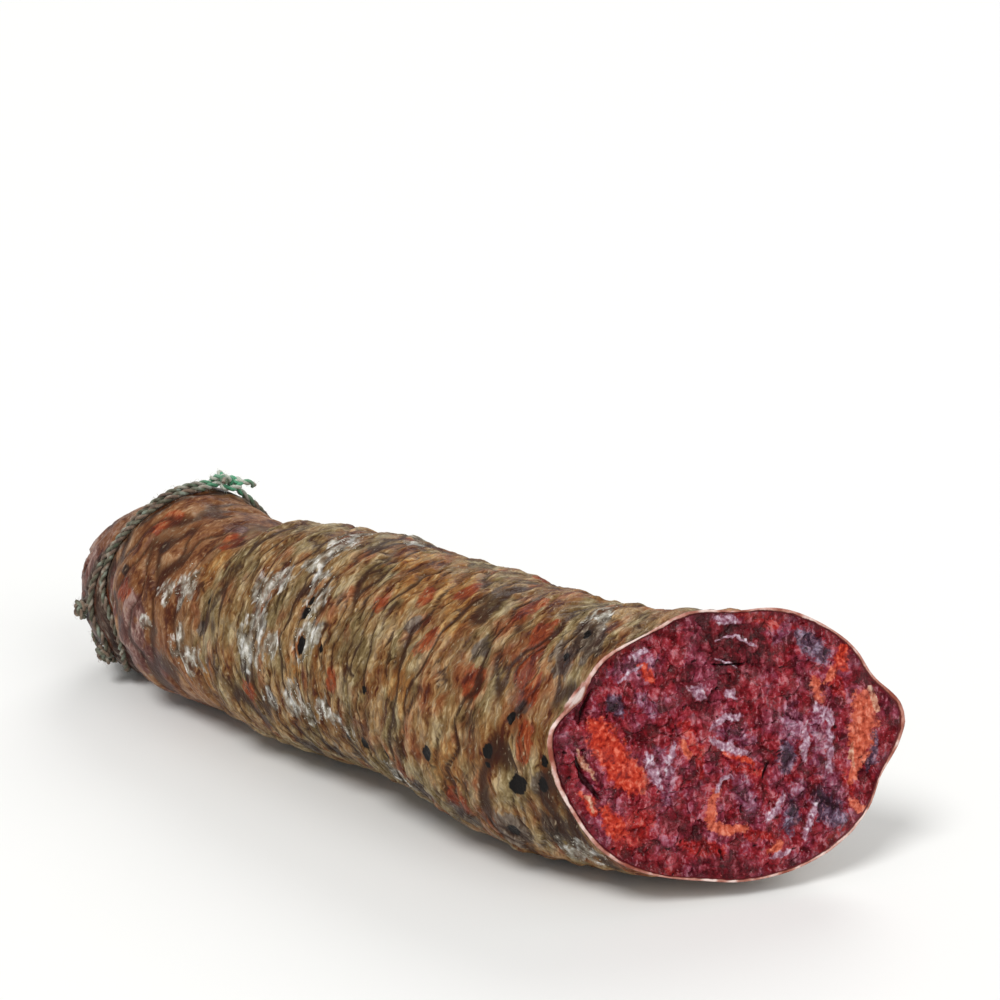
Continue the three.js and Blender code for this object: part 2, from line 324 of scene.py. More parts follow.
# A shader node's kind goes without its prefix. The settings may be just the operation, and the
# inputs a tuple that starts at the first one. An input may be a value, a hex colour, a socket or
# a node, whose first live output is used.
def addNode(tree, kind, settings=None, inputs=None):
    node = tree.nodes.new(kind if "Node" in kind else "ShaderNode" + kind)
    if isinstance(settings, str):
        settings = {"operation": settings}
    for key, value in (settings or {}).items():
        setattr(node, key, value)
    if isinstance(inputs, tuple):
        inputs = dict(enumerate(inputs))
    for key, value in (inputs or {}).items():
        if isinstance(value, bpy.types.Node):
            value = next(output for output in value.outputs if output.enabled)
        if isinstance(value, bpy.types.NodeSocket):
            tree.links.new(value, node.inputs[key])
        elif isinstance(value, str) and value.startswith("#"):
            node.inputs[key].default_value = colour(value)
        else:
            node.inputs[key].default_value = value
    return node


def shareOf(add, name):
    return add("Attribute", {"attribute_name": name}).outputs["Fac"]


# Hex colours evenly spaced between a low and a high value
def ramp(add, value, low, high, texts):
    place = add("MapRange", None, (value, low, high))
    node = add("ValToRGB", None, {"Fac": place})
    texts = texts.split()
    stops = node.color_ramp.elements
    for _ in texts[2:]:
        stops.new(0.5)
    for i, (stop, text) in enumerate(zip(stops, texts)):
        stop.position = i / (len(texts) - 1)
        stop.color = colour(text)
    return node


# Paints layers over a base colour. Each has its share of the surface or the name of its
# attribute, how far the grain pulls its edge about, the share where it starts and where it is
# full, its strength and its paint.
def paintLayers(add, base, grain, layers):
    for share, pull, start, full, strength, paint in layers:
        if isinstance(share, str):
            share = shareOf(add, share)
        ragged = add("Math", "MULTIPLY_ADD", (grain, pull, share))
        amount = add("MapRange", {"interpolation_type": "SMOOTHSTEP"},
                     (ragged, start + pull / 2, full + pull / 2, 0.0, strength))
        base = add("Mix", {"data_type": "RGBA"}, {0: amount, 6: base, 7: paint})
    return base


# Twine: its routes over the skin, then its knots

twineLook = {
    "radius": 0.9,
    "sink": 0.55,                # the tight twine has bitten this far into the skin
    "plyRadius": 0.46,
    "plyOffset": 0.37,
    "twistLength": 4.6,          # one full turn of the two plies
    "pathStep": 0.45,
    "knotRadius": 2.6,
    "knotSink": 0.3,
    "hitchRadius": 1.5,
    "hitchTube": 0.7,            # a hitch lies closer to the skin
    "wrapRoutes": [              # along, round
        [(32, 72), (31, 86), (30.6, 101), (28.5, 118), (23.5, 131), (17, 142), (12, 152),
         (9.3, 164), (8, 178), (8.5, 190), (7.5, 200), (5.4, 210), (2.8, 225), (1, 248),
         (0.5, 270), (1, 292), (3, 312), (7.5, 330), (14.5, 348), (22.5, 370), (28, 394),
         (31, 415), (32, 432)],
        [(32, 72), (33.6, 86), (33.2, 101), (31.4, 118), (27, 131), (21, 142), (17, 153),
         (15.4, 164), (16.4, 175), (17.4, 186), (15.5, 199), (11, 212), (6.2, 228), (2.4, 248),
         (1.3, 270), (2.3, 292), (5.8, 312), (10.8, 330), (18, 348), (26, 370), (31.5, 394),
         (33.6, 415), (32, 432)],
    ],
    "noseStrands": [             # from one side to the other, and how high where they cross
        {"from": (9.4, 165), "to": (9, 334), "hitch": (5, 165), "cross": 0.0},
        {"from": (7.2, 203), "to": (25, 14), "hitch": (5.2, 205), "cross": 1.5},
    ],
    "climb": (0.3, 1.6, 4, 8, 13, 19),    # along, on either side of the pole
    "crossFan": 1.5,
    "tieEnds": [                 # across, onward, out
        [(0, 0, 0), (2.5, 2.6, 0.8), (4.2, 5.2, 1.2), (4.6, 7.4, 0.6)],
        [(0, 0, 0), (-2.4, 2.0, 1.0), (-5.2, 2.6, 1.6), (-7.2, 1.6, 0.9)],
    ],
}


# A smooth line through points, by Catmull-Rom with steps by the square root of their distance
def smoothPath(points):
    points = np.asarray(points, float)
    rows = np.concatenate([2 * points[:1] - points[1:2], points, 2 * points[-1:] - points[-2:-1]])
    path = []
    for a, b, c, d in zip(rows, rows[1:], rows[2:], rows[3:]):
        gaps = [np.sqrt(np.linalg.norm(q - p)) for p, q in ((a, b), (b, c), (c, d))]
        knots = np.cumsum([0.0] + gaps)
        count = max(2, round(np.linalg.norm(c - b) / twineLook["pathStep"]))
        for t in np.linspace(knots[1], knots[2], count, endpoint=False):
            def between(p, q, i, j):
                return (p * (knots[j] - t) + q * (t - knots[i])) / (knots[j] - knots[i])
            ab, bc, cd = between(a, b, 0, 1), between(b, c, 1, 2), between(c, d, 2, 3)
            path.append(between(between(ab, bc, 0, 2), between(bc, cd, 1, 3), 1, 2))
    return np.array([*path, points[-1]])


def aboveSkin(along, around, lift):
    along, around = np.array([float(along)]), np.array([float(around)])
    return (bareSurface(along, around) + lift * outward(along, around))[0]


def laidPoint(along, around, extra=0.0):
    overPleats = body["pleatHeight"] * (1.0 - smoothRise(np.array(along), *body["pleatFade"]))
    lift = twineLook["radius"] - twineLook["sink"] + float(overPleats) + extra
    return aboveSkin(along, around, lift)


def skinFrame(along, around):
    along, around = np.array([float(along)]), np.array([float(around)])
    out = outward(along, around)[0]
    across = unit(bareSurface(along, around + 1.0) - bareSurface(along, around - 1.0))[0]
    return across, np.cross(out, across), out


tieSpot = twineLook["wrapRoutes"][0][0]
tieLift = twineLook["radius"] + twineLook["knotRadius"] / 2 - twineLook["knotSink"]
tieMiddle = aboveSkin(*tieSpot, tieLift)


def wrapPath(route):
    end = tieMiddle + np.array([0.0, twineLook["radius"] / 2, 0.0])
    return smoothPath([tieMiddle, *(laidPoint(*point) for point in route[1:-1]), end])


def noseStrandPath(strand):
    def side(end, around):
        climb = [along for along in twineLook["climb"] if along < end - twineLook["radius"]]
        return [laidPoint(along, around, strand["cross"] * bell(along, twineLook["crossFan"]))
                for along in [*climb, end]]
    return smoothPath([*side(*strand["from"])[::-1], laidPoint(0, 0, strand["cross"]),
                       *side(*strand["to"])])


# A trefoil of twine, lying on the skin
def knotPath(spot, radius, tube, steps):
    across, onward, out = skinFrame(*spot)
    turn = np.linspace(0.0, 4.0 * np.pi, steps, endpoint=False)
    reach = radius * (2.0 + np.cos(1.5 * turn)) / 2.0
    height = radius * np.sin(1.5 * turn) / 2.0
    centre = aboveSkin(*spot, tube + radius / 2.0 - twineLook["knotSink"])
    return centre + (np.outer(reach * np.cos(turn), across) + np.outer(reach * np.sin(turn), onward)
                     + np.outer(height, out))


wrapPaths = [wrapPath(route) for route in twineLook["wrapRoutes"]]
strandPaths = [noseStrandPath(strand) for strand in twineLook["noseStrands"]]
tieEndPaths = [smoothPath(tieMiddle + np.array(offsets) @ np.array(skinFrame(*tieSpot)))
               for offsets in twineLook["tieEnds"]]
knotPaths = [knotPath(tieSpot, twineLook["knotRadius"], twineLook["radius"], 90)]
knotPaths += [knotPath(strand["hitch"], twineLook["hitchRadius"], twineLook["hitchTube"], 60)
              for strand in twineLook["noseStrands"]]


# Casing

casingLook = {
    "ringsAlong": 495,
    "noseRings": 70,
    "columns": 180,
    "innerRings": 34,
    "rimProfile": [              # inset, beyond the cut, how pale; then outward and beyond in the curl
        (0.04, 0.0, 0.7, 0.5, 0.2), (0.14, 0.12, 1.0, 1.1, 0.9), (0.3, 0.18, 1.0, 0.9, 1.7),
        (0.48, 0.08, 0.55, -0.2, 1.5), (0.68, -0.12, 0.0, 0.0, 0.3),
    ],
    "curl": (141.0, 5.5),        # the skin curls over the cut here: round, spread
    "innerInset": 1.7,
    "innerSetback": 1.3,         # the inner wall starts this far before the cut
    "typicalRadius": 28.0,
    "seed": 7,
    "creases": {                 # size, how far drawn round the body, width, layer of the noise
        "main": (2.3, 4.4, 0.24, 11.0), "folds": (5.6, 3.6, 0.36, 23.0),
        "rings": (5.4, 8.5, 0.17, 37.0),
    },
    "plateSize": 1.75,
    "gathers": 19.0,             # round the tie
    "furrows": {                 # depth, and how dark the shade painted in it is
        "main": (0.6, 0.9), "plates": (0.3, 0.7), "folds": (0.85, 0.8), "rings": (0.5, 0.95),
        "gather": (0.6, 0.8),
    },
    "reliefLimits": (-0.82, 0.3),
    "tiedLength": 46.0,          # no twine further along than this
    "grooveDepth": 0.6,          # under the twine
    "squeezeHeight": 0.18,       # beside it
    "spotForms": {               # how far drawn round the body, how ragged
        "pits": (1.6, 0.8), "bloom": (1.3, 1.0), "golden": (2.0, 1.0), "rust": (1.9, 0.8),
        "plum": (1.4, 0.7), "dark": (1.5, 1.0),
    },
    "pits": [                    # holes and dark peppercorns, painted near-black, which in the holes is painted shade: along, round, radius
        (102, 146, 1.4), (103.5, 161, 1.6), (110.5, 160, 0.9), (165, 184, 2.0), (158.7, 172, 1.3),
        (162, 156, 1.0), (126, 170, 0.9), (117, 205, 1.0), (125, 200, 1.1), (132, 199, 1.1),
        (145, 185, 1.2), (159, 178, 0.7), (171, 170, 1.0), (102, 139, 1.0), (170.4, 182, 1.3),
        (162, 211, 1.3), (107, 219, 1.2), (133, 209, 1.0), (169, 124, 0.9), (171, 110, 1.0),
        (66, 150, 0.7), (140, 60, 1.0), (122, 40, 1.2), (90, 20, 1.0), (158, 30, 1.3), (180, 10, 1.1),
        (70, 350, 1.0), (110, 340, 1.1), (150, 345, 0.9), (190, 330, 1.1), (130, 320, 1.0),
    ],
    "bloom": [                   # whitish bloom: along, round, radius
        (96, 110, 5.5), (96, 100, 5), (95, 119, 4), (85, 138, 5), (89, 131, 4), (104, 139, 4),
        (104, 159, 4.5), (106, 155, 4), (58, 183, 4.5), (65, 186, 4), (100, 192, 5), (105, 196, 4.5),
        (92, 192, 3.5), (117, 199, 4), (47, 174, 2), (58, 177, 4), (61, 195, 4), (87, 154, 4.5),
        (85, 169, 5), (100, 126, 3), (32, 100, 2.5), (174, 218, 5), (133, 212, 4), (170, 95, 4),
        (95, 88, 4), (108, 78, 3.5), (19, 141, 1.6), (57, 146, 5.5), (52, 152, 3.5), (93, 165, 3),
        (112, 190, 3), (100, 60, 4), (96, 30, 6), (92, 5, 5), (130, 10, 5), (165, 355, 6),
        (60, 20, 4), (150, 40, 4), (75, 345, 5),
    ],
    "golden": [                  # yellow-brown stretches: along, round, radius
        (117, 95, 6), (126, 108, 7), (133, 104, 5), (140, 118, 5), (62, 128, 5), (66, 190, 4),
        (150, 190, 5), (102, 180, 4), (120, 30, 6), (160, 60, 5), (90, 350, 5), (135, 160, 4),
    ],
    "rust": [                    # orange fat and red meat that show through: along, round, radius
        (137.5, 137, 2.6), (137, 107, 2.4), (151.5, 146, 2.8), (161.4, 118, 3.4), (164, 143, 3.2),
        (161, 133, 2.2), (166, 164, 2.8), (115, 173, 2.2), (153, 104, 3), (130, 116, 2.4),
        (151, 205, 3), (84, 192, 3), (121, 128, 2), (38, 115, 3), (59, 109, 3), (19, 170, 3),
        (17, 210, 3.5), (140, 60, 3), (120, 30, 3), (160, 20, 3), (100, 0, 3), (175, 350, 3),
        (145, 330, 3), (38, 160, 3), (75, 40, 3), (125, 300, 2.5), (185, 45, 3),
    ],
    "plum": [                    # damp purple-brown skin about the tie: along, round, radius
        (1.0, 150, 7), (2.0, 200, 8), (7.0, 215, 7), (14.0, 214, 7), (8.9, 136, 5), (24, 160, 5),
        (30, 176, 5), (42, 183, 6), (43, 168, 4), (40, 196, 6), (47, 201, 5), (34, 205, 6),
        (31, 91, 3), (56, 96, 3), (2.0, 60, 7), (2.0, 300, 8), (20.0, 260, 7), (38, 240, 6),
    ],
    "dark": [                    # slate and purple stains, and painted shade low on the side (round 214 to 227): along, round, radius
        (17.3, 153, 4), (21, 161, 3.5), (44, 129, 1.8), (36, 150, 1.5), (66, 166, 2), (84, 180, 2.5),
        (171, 109, 4), (169, 124, 4), (174, 116, 4), (162, 211, 5), (171, 204, 4), (140, 216, 4),
        (132, 132, 2), (150, 131, 2.5), (107, 219, 4), (170, 182, 2.2), (164, 150, 2), (190, 60, 4),
        (180, 20, 4), (150, 0, 4), (120, 345, 4), (70, 224, 4), (95, 227, 4), (118, 222, 4),
        (132, 214, 3), (150, 220, 4),
    ],
}


# Places on a thinner sausage, so that a pattern on them is drawn out round the body
def flowPlace(along, around, drawn):
    reach = casingLook["typicalRadius"] * noseCap(along) / drawn
    angle = np.radians(around)
    return np.stack([along, reach * np.cos(angle), reach * np.sin(angle)], -1)


def blotch(along, around, spots, drawn, ragged):
    share = np.zeros_like(along)
    for place, turn, radius in spots:
        sideways = np.radians(turnBetween(around, turn)) * casingLook["typicalRadius"] * noseCap(along)
        distance = np.hypot(along - place, sideways / drawn) / radius
        share = np.maximum(share, 1.0 - smoothRise(distance + ragged, 0.45, 1.15))
    return share


def curlShare(around):
    place, spread = casingLook["curl"]
    return bell(turnBetween(around, place), spread)


# How far each place near the tie is from the nearest twine, on the skin
def twineGap(along, place):
    points = np.concatenate(wrapPaths + strandPaths)
    lift = twineLook["radius"] - twineLook["sink"]
    near = np.full(along.shape, 9.0)
    tied = np.where(along < casingLook["tiedLength"])
    skin = place[tied]
    for part in np.array_split(np.arange(len(skin)), 40):
        gaps = np.linalg.norm(skin[part][:, None] - points[None], axis=-1).min(1)
        near[tied[0][part], tied[1][part]] = np.sqrt(np.maximum(gaps ** 2 - lift ** 2, 0.0))
    return near


# Relief and colour shares of the skin
def casingSurface(along, around, cut):
    look = casingLook
    noise = Noise(look["seed"])
    other = Noise(look["seed"] + 1)
    place = bareSurface(along, around)
    # places are shifted first, so that no crease runs straight
    warp = noise.at(place / 9.0 + 3.0)
    wiggle = noise.at(place / 3.1 + 40.0)
    shifted = along + 2.6 * warp + 0.5 * wiggle
    mature = smoothRise(along + 6.0 * warp, 48.0, 76.0)    # drier and tighter away from the tie
    tightened = 0.25 + 0.75 * mature
    belly = 1.0 - 0.7 * bell(turnBetween(around, 270.0), 28.0)

    # creases of three sizes, the edges of small plates and the gathers at the tie
    furrows = {}
    for key, (size, drawn, width, layer) in look["creases"].items():
        value = other.at(flowPlace(shifted, around, drawn) / size + layer)
        furrows[key] = 1.0 - smoothRise(np.abs(value), 0.0, width)
    edge, cellTone = other.cells(flowPlace(shifted + 0.5 * wiggle, around, 4.4) / look["plateSize"])
    plates = 1.0 - smoothRise(edge, 0.02, 0.34)
    strength = 0.45 + 0.55 * smoothRise(noise.at(place / 6.5 + 70.0), -0.35, 0.4)
    gatherWave = np.cos(np.radians(around * look["gathers"]) + 5.0 * noise.at(place / 8.0 + 170.0))
    gather = smoothRise(gatherWave, 0.1, 0.9) * (1.0 - smoothRise(along, 5.0, 13.0))
    furrows["main"] = furrows["main"] * strength * tightened
    furrows["plates"] = plates * (0.6 + 0.4 * noise.at(place / 4.0 + 90.0)) * tightened
    furrows["folds"] = furrows["folds"] * (1.0 - 0.45 * mature) * smoothRise(along, 10.0, 20.0)
    furrows["rings"] = furrows["rings"] * (0.2 + 0.8 * mature)
    furrows["gather"] = gather * smoothRise(along, 0.2, 1.2)

    # the listed spots, with ragged edges
    ragged = 0.55 * noise.at(flowPlace(along, around, 2.2) / 2.2 + 200.0)
    ragged = ragged + 0.3 * other.at(flowPlace(along, around, 2.0) / 0.9 + 210.0)
    spots = {key: blotch(along, around, look[key], drawn, share * ragged)
             for key, (drawn, share) in look["spotForms"].items()}

    # the whole relief: less of it underneath, none under the twine, little at the cut
    near = twineGap(along, place)
    groove = bell(near, 1.15)
    relief = sum(-depth * furrows[key] for key, (depth, _) in look["furrows"].items())
    relief = relief + 0.24 * (cellTone - 0.5) * mature + 0.3 * noise.at(place / 4.6 + 120.0)
    relief = relief + 0.07 * noise.at(place / 0.9 + 150.0) * mature - 0.06
    relief = relief * belly - 0.7 * spots["pits"]
    relief = relief * (1.0 - groove) * (1.0 - 0.8 * smoothRise(along - cut, -1.6, -0.3))
    relief = relief - look["grooveDepth"] * groove + look["squeezeHeight"] * bell(near - 2.5, 1.1)
    # painted shade: each place is coloured as dark as its darkest furrow
    darkest = np.maximum.reduce([darkness * furrows[key]
                                 for key, (_, darkness) in look["furrows"].items()])
    shares = {
        "crease": np.clip(darkest, 0, 1),
        "tone": cellTone,
        "bloom": spots["bloom"] * (1.0 - smoothRise(spots["pits"], 0.0, 0.4)),
        "golden": spots["golden"],
        "rust": spots["rust"],
        # the listed stains, and painted shade in a band beside the twine
        "dark": np.clip(np.maximum(spots["dark"], 0.9 * bell(near - 2.2, 1.6)), 0, 1),
        "pit": spots["pits"],
        "raw": 1.0 - mature,
        "plum": np.maximum(spots["plum"], 0.62 * (1.0 - smoothRise(along + 5.0 * warp, 6.0, 30.0))),
        "ruddy": smoothRise(along + 8.0 * warp, 120.0, 175.0),
        "edge": np.maximum(0.6 * smoothRise(along - cut, -0.5, 0.0),
                           1.8 * curlShare(around) * smoothRise(along - cut, -2.6, -0.9)),
    }
    return np.clip(relief, *look["reliefLimits"]), shares


def buildCasing():
    look = casingLook
    columns = np.arange(look["columns"]) * 360.0 / look["columns"]
    cut = cutDistance(columns)
    turn = np.arange(1, look["noseRings"] + 1)[:, None] / look["noseRings"] * np.pi / 2
    nose = body["noseLength"] * (1.0 - np.cos(turn) ** (2.0 / body["noseBluntness"]))
    nose = nose * np.ones_like(columns)
    share = np.arange(1, look["ringsAlong"] - look["noseRings"] + 1)[:, None]
    share = share / (look["ringsAlong"] - look["noseRings"])
    along = np.concatenate([nose, body["noseLength"] + (cut - 0.5 - body["noseLength"]) * share])
    around = columns * np.ones_like(along)
    relief, shares = casingSurface(along, around, cut)
    rings = [skinPoint(along, around, 0.0, relief)]
    flow = [flowPlace(along, around, 1.0)]

    edgeNoise = Noise(look["seed"] + 2)
    circleX = np.cos(np.radians(columns)) * look["typicalRadius"]
    circleY = np.sin(np.radians(columns)) * look["typicalRadius"]
    ripple = flatNoise(edgeNoise, circleX, circleY, 3.2)
    fineRipple = flatNoise(edgeNoise, circleX, circleY, 1.3, 5.0)
    curl = curlShare(columns) * (1.0 + 0.3 * fineRipple)
    for inset, beyond, _, curlOut, curlOver in look["rimProfile"]:
        lip = beyond + curlOver * curl + (0.16 * ripple + 0.14 * fineRipple) * (inset < 0.6)
        ringAlong = cutDistance(columns, inset)
        ringInset = inset * (1.0 + 0.4 * fineRipple) - curlOut * curl
        ring = skinPoint(ringAlong, columns, ringInset) + lip[:, None] * cutNormal
        rings.append(ring[None])
        flow.append(flowPlace(ringAlong, columns, 1.0)[None])
    innerCut = cutDistance(columns, look["innerInset"])
    for share in np.linspace(1.0, 0.03, look["innerRings"]):
        ringAlong = (innerCut - look["innerSetback"]) * share
        rings.append(skinPoint(ringAlong, columns, look["innerInset"])[None])
        flow.append(flowPlace(ringAlong, columns, 1.0)[None])
    rings = np.concatenate(rings)
    pole = np.zeros(1)
    start = skinPoint(pole, pole, 0.0, -0.12)
    end = skinPoint(pole, pole, look["innerInset"])
    points = np.concatenate([start, rings.reshape(-1, 3), end])
    low, high = (np.array(corner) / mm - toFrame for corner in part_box("casing"))
    points = np.clip(points, low, high)

    # the rim is pale outside and shows flesh further in
    pale = np.array([step[2] for step in look["rimProfile"]] + [0.0] * look["innerRings"])
    shares["flesh"] = np.zeros_like(along)
    beyondCut = {"edge": np.outer(pale, 1.0 + curl), "flesh": np.outer(1.0 - pale, np.ones_like(curl))}
    nothing = np.zeros((len(pale), look["columns"]))
    attributes = {}
    for key, values in shares.items():
        whole = np.concatenate([values, beyondCut.get(key, nothing)])
        attributes[key] = np.concatenate([[values[0].mean()], whole.ravel(), whole[-1, :1]])
    flow = np.concatenate(flow).reshape(-1, 3)
    attributes["flow"] = np.concatenate([flow[:1], flow, flow[-1:]])
    return meshObject("casingSkin", points, ringFaces(len(rings), look["columns"]), attributes)


casingSkin = buildCasing()
print("casing made,", len(casingSkin.data.polygons), "faces")


# Meat

meatLook = {
    "grid": 260,
    "sideRings": 22,
    "seed": 21,
    "sideSetback": 1.5,          # the sides start this far before the cut
    "chunk": 2.9,                # size of the minced lean
    "smallChunk": 1.15,
    "heights": {                 # of each kind of relief on the face
        "broad": 0.2, "seam": -0.32, "smallSeam": -0.16, "void": -0.4, "rough": 0.16, "chunk": 0.42,
        "fat": 0.14, "crack": -1.1,
    },
    "cobbleShare": 0.5,          # of the CAD's cobbles
    "strokeForms": {             # how soft the edge is, narrowing towards the ends
        "deepOrange": (1.6, 0.3), "softOrange": (1.4, 0.3), "pale": (0.8, 0.6), "lilac": (1.3, 0.5),
        "slate": (2.4, 0.3), "haze": (2.6, 0.3), "gloss": (1.6, 0.3), "red": (2.2, 0.4),
    },
    "deepOrange": [              # paprika-stained fat on the cut: width, then its path on the face
        (7.0, [(-27.1, 6.4), (-25.1, 2.5), (-22.5, -1.8), (-20.2, -5.2)]),
        (2.0, [(-31.5, -6.1), (-28.2, -10.0)]),
        (4.4, [(-26.3, -10.8), (-23.5, -14.6)]),
        (2.6, [(-16.7, 17.7), (-14.8, 15.0)]),
        (3.4, [(27.6, 16.8), (26.6, 13.2)]),
        (1.3, [(0.0, -1.3), (5.7, -4.3)]),
    ],
    "softOrange": [
        (4.0, [(-20.5, -1.2), (-18.4, -6.6)]),
        (6.6, [(31.4, 5.7), (30.7, 0.0), (29.6, -4.2)]),
        (3.0, [(29.2, -4.9), (27.7, -10.1)]),
        (2.8, [(25.7, 12.5), (23.4, 11.2)]),
        (2.4, [(20.5, 11.1), (22.0, 6.8)]),
        (2.3, [(-2.8, -9.2), (-4.1, -12.7), (-4.3, -15.5), (-1.6, -17.3), (2.9, -17.7)]),
        (1.8, [(-24.0, 21.9), (-16.5, 26.1), (-9.5, 27.2)]),
        (2.0, [(27.3, -15.1), (30.1, -17.5)]),
        (1.6, [(7.5, -23.0), (10.5, -21.5)]),
        (1.4, [(-9.0, 1.8), (-8.0, -1.0)]),
    ],
    "pale": [                    # yellowish rim of the large piece
        (1.3, [(-31.5, 3.5), (-30.6, -0.2), (-28.1, -3.8)]),
        (1.1, [(-31.0, -6.0), (-28.6, -9.6)]),
        (1.6, [(32.9, 8.5), (34.5, 3.0)]),
        (1.3, [(28.1, -2.4), (27.6, -7.5)]),
    ],
    "lilac": [                   # white fat, stained lilac
        (3.6, [(-5.7, 12.4), (-4.1, 10.8)]),
        (2.0, [(-10.6, 2.0), (-11.7, -0.9), (-12.8, -4.2)]),
        (2.2, [(-17.0, -0.1), (-16.0, -3.4), (-14.7, -6.8)]),
        (2.0, [(-3.2, 1.9), (0.5, -0.4), (4.6, -2.3)]),
        (1.5, [(-2.9, 3.5), (-0.3, 5.7), (4.0, 5.4)]),
        (1.7, [(18.5, 2.9), (17.7, -1.4), (17.4, -5.5)]),
        (3.0, [(21.0, 5.7), (23.9, 2.0)]),
        (1.9, [(23.4, 2.1), (22.9, -7.8)]),
        (1.8, [(12.1, -11.7), (10.1, -14.5), (8.1, -16.9)]),
        (1.9, [(19.0, -14.2), (16.0, -21.1)]),
        (1.9, [(-0.1, 26.0), (4.7, 24.9)]),
        (1.6, [(-18.6, 19.9), (-15.4, 21.1)]),
        (1.2, [(-21.7, 15.6), (-16.9, 17.9)]),
        (1.1, [(-2.8, -9.2), (-1.2, -6.3), (1.6, -7.1)]),
        (2.2, [(1.2, 11.2), (2.2, 9.7)]),
        (1.4, [(8.4, -24.2), (12.5, -23.1)]),
        (0.5, [(-0.4, 21.6), (4.9, 21.8)]),
        (0.5, [(3.8, 22.0), (8.4, 19.4)]),
        (0.6, [(-0.5, 17.6), (3.6, 15.8)]),
    ],
    "slate": [                   # dark blue-grey patches
        (5.0, [(18.1, 20.7), (23.1, 16.0)]),
        (6.5, [(20.4, -13.4), (23.7, -18.8)]),
        (4.0, [(-23.5, 12.0), (-22.0, 9.4)]),
        (4.0, [(13.4, -1.6), (13.0, -6.0)]),
        (3.0, [(33.5, -1.5), (31.6, -9.0)]),
        (3.5, [(14.0, -14.5), (13.0, -19.5)]),
    ],
    "haze": [                    # fat smeared over the lean, lilac grey
        (5.5, [(15.0, 5.5), (14.5, -2.0)]),
        (5.0, [(21.0, 4.5), (20.6, -5.5)]),
        (5.0, [(15.8, -10.5), (12.0, -17.0)]),
        (4.6, [(-14.2, 0.5), (-13.0, -9.0)]),
        (3.6, [(-23.5, 17.5), (-14.0, 18.5)]),
        (5.0, [(3.0, -8.0), (5.0, -14.5)]),
        (6.0, [(22.0, -8.5), (24.5, -14.0)]),
        (3.0, [(-18.0, 12.0), (-14.0, 8.0)]),
        (3.4, [(-1.0, 3.0), (6.0, 0.0)]),
        (3.0, [(17.0, 24.0), (13.0, 20.0)]),
    ],
    "gloss": [                   # wet dark red lean
        (10.0, [(-0.6, 21.5), (5.0, 20.0), (8.5, 16.6)]),
        (4.0, [(-8.0, 14.0), (-3.0, 6.5)]),
        (4.5, [(-13.5, -13.0), (-9.0, -16.5)]),
        (4.0, [(30.0, 11.5), (33.5, 9.0)]),
        (5.0, [(-6.0, -24.0), (3.0, -26.0)]),
        (3.0, [(-8.2, 15.4), (-7.0, 16.2)]),
        (3.0, [(0.0, 13.8), (3.0, 12.6)]),
    ],
    "red": [                     # lean stained bright red by the paprika
        (2.4, [(4.2, 27.0), (12.7, 23.9)]),
        (7.0, [(-24.5, -17.5), (-17.5, -12.5)]),
        (3.4, [(-17.5, -23.8), (-12.0, -26.4)]),
        (3.0, [(-30.0, 20.0), (-24.0, 17.0)]),
        (2.6, [(20.0, -24.0), (27.0, -18.5)]),
        (2.6, [(1.0, -4.6), (7.6, -6.6)]),
        (3.2, [(-24.0, 20.5), (-15.0, 25.5)]),
        (3.0, [(9.0, 24.5), (17.0, 22.5)]),
        (3.4, [(24.5, 12.5), (26.8, 6.5)]),
        (3.0, [(26.0, -8.5), (26.8, -14.0)]),
        (3.4, [(-11.0, -19.0), (-2.0, -21.5)]),
        (2.4, [(3.0, -18.5), (9.5, -20.5)]),
        (3.0, [(-9.0, 5.5), (-6.0, 0.0), (-5.5, -5.5)]),
    ],
    "cracks": [                  # slits where the meat has come away, painted dark as shade
        (1.1, [(-32.0, 2.5), (-31.0, -2.4), (-28.7, -5.9), (-27.4, -7.7)]),
        (0.7, [(9.2, -4.4), (7.6, -8.2)]),
        (0.7, [(-27.5, 14.5), (-29.5, 11.0), (-30.6, 8.0)]),
        (0.35, [(-1.6, 16.6), (5.2, 16.0)]),
    ],
}


# Cells of random size over the face: how far from a cell's edge, and a random number for it
def chunks(u, v, size, draw):
    table = draw.random((64, 64, 4))
    cellU, cellV = np.floor(u / size).astype(int), np.floor(v / size).astype(int)

    def offers():
        for stepU, stepV in product((-1, 0, 1), repeat=2):
            row = table[(cellU + stepU) % 64, (cellV + stepV) % 64]
            gapU = (cellU + stepU + row[..., 0]) - u / size
            gapV = (cellV + stepV + row[..., 1]) - v / size
            yield np.hypot(gapU * (0.8 + 0.4 * row[..., 2]), gapV), row[..., 3]

    return nearestCentre(u.shape, offers())


# Strokes on the face, narrower towards their ends: their width, then their path
def strokes(u, v, marks, soft, taper, wobble):
    share = np.zeros_like(u)
    for width, path in marks:
        reach = np.full(u.shape, -99.0)
        for i, ((startU, startV), (endU, endV)) in enumerate(zip(path, path[1:])):
            acrossU, acrossV = endU - startU, endV - startV
            along = ((u - startU) * acrossU + (v - startV) * acrossV) / (acrossU ** 2 + acrossV ** 2)
            along = np.clip(along, 0.0, 1.0)
            gap = np.hypot(u - startU - along * acrossU, v - startV - along * acrossV)
            fromMiddle = 2.0 * (i + along) / (len(path) - 1) - 1.0
            reach = np.maximum(reach, width / 2 * (1.0 - taper * fromMiddle ** 2) - gap)
        edge = min(soft, width / 3)
        share = np.maximum(share, smoothRise(reach - wobble * min(1.0, width / 3), -edge, edge))
    return share


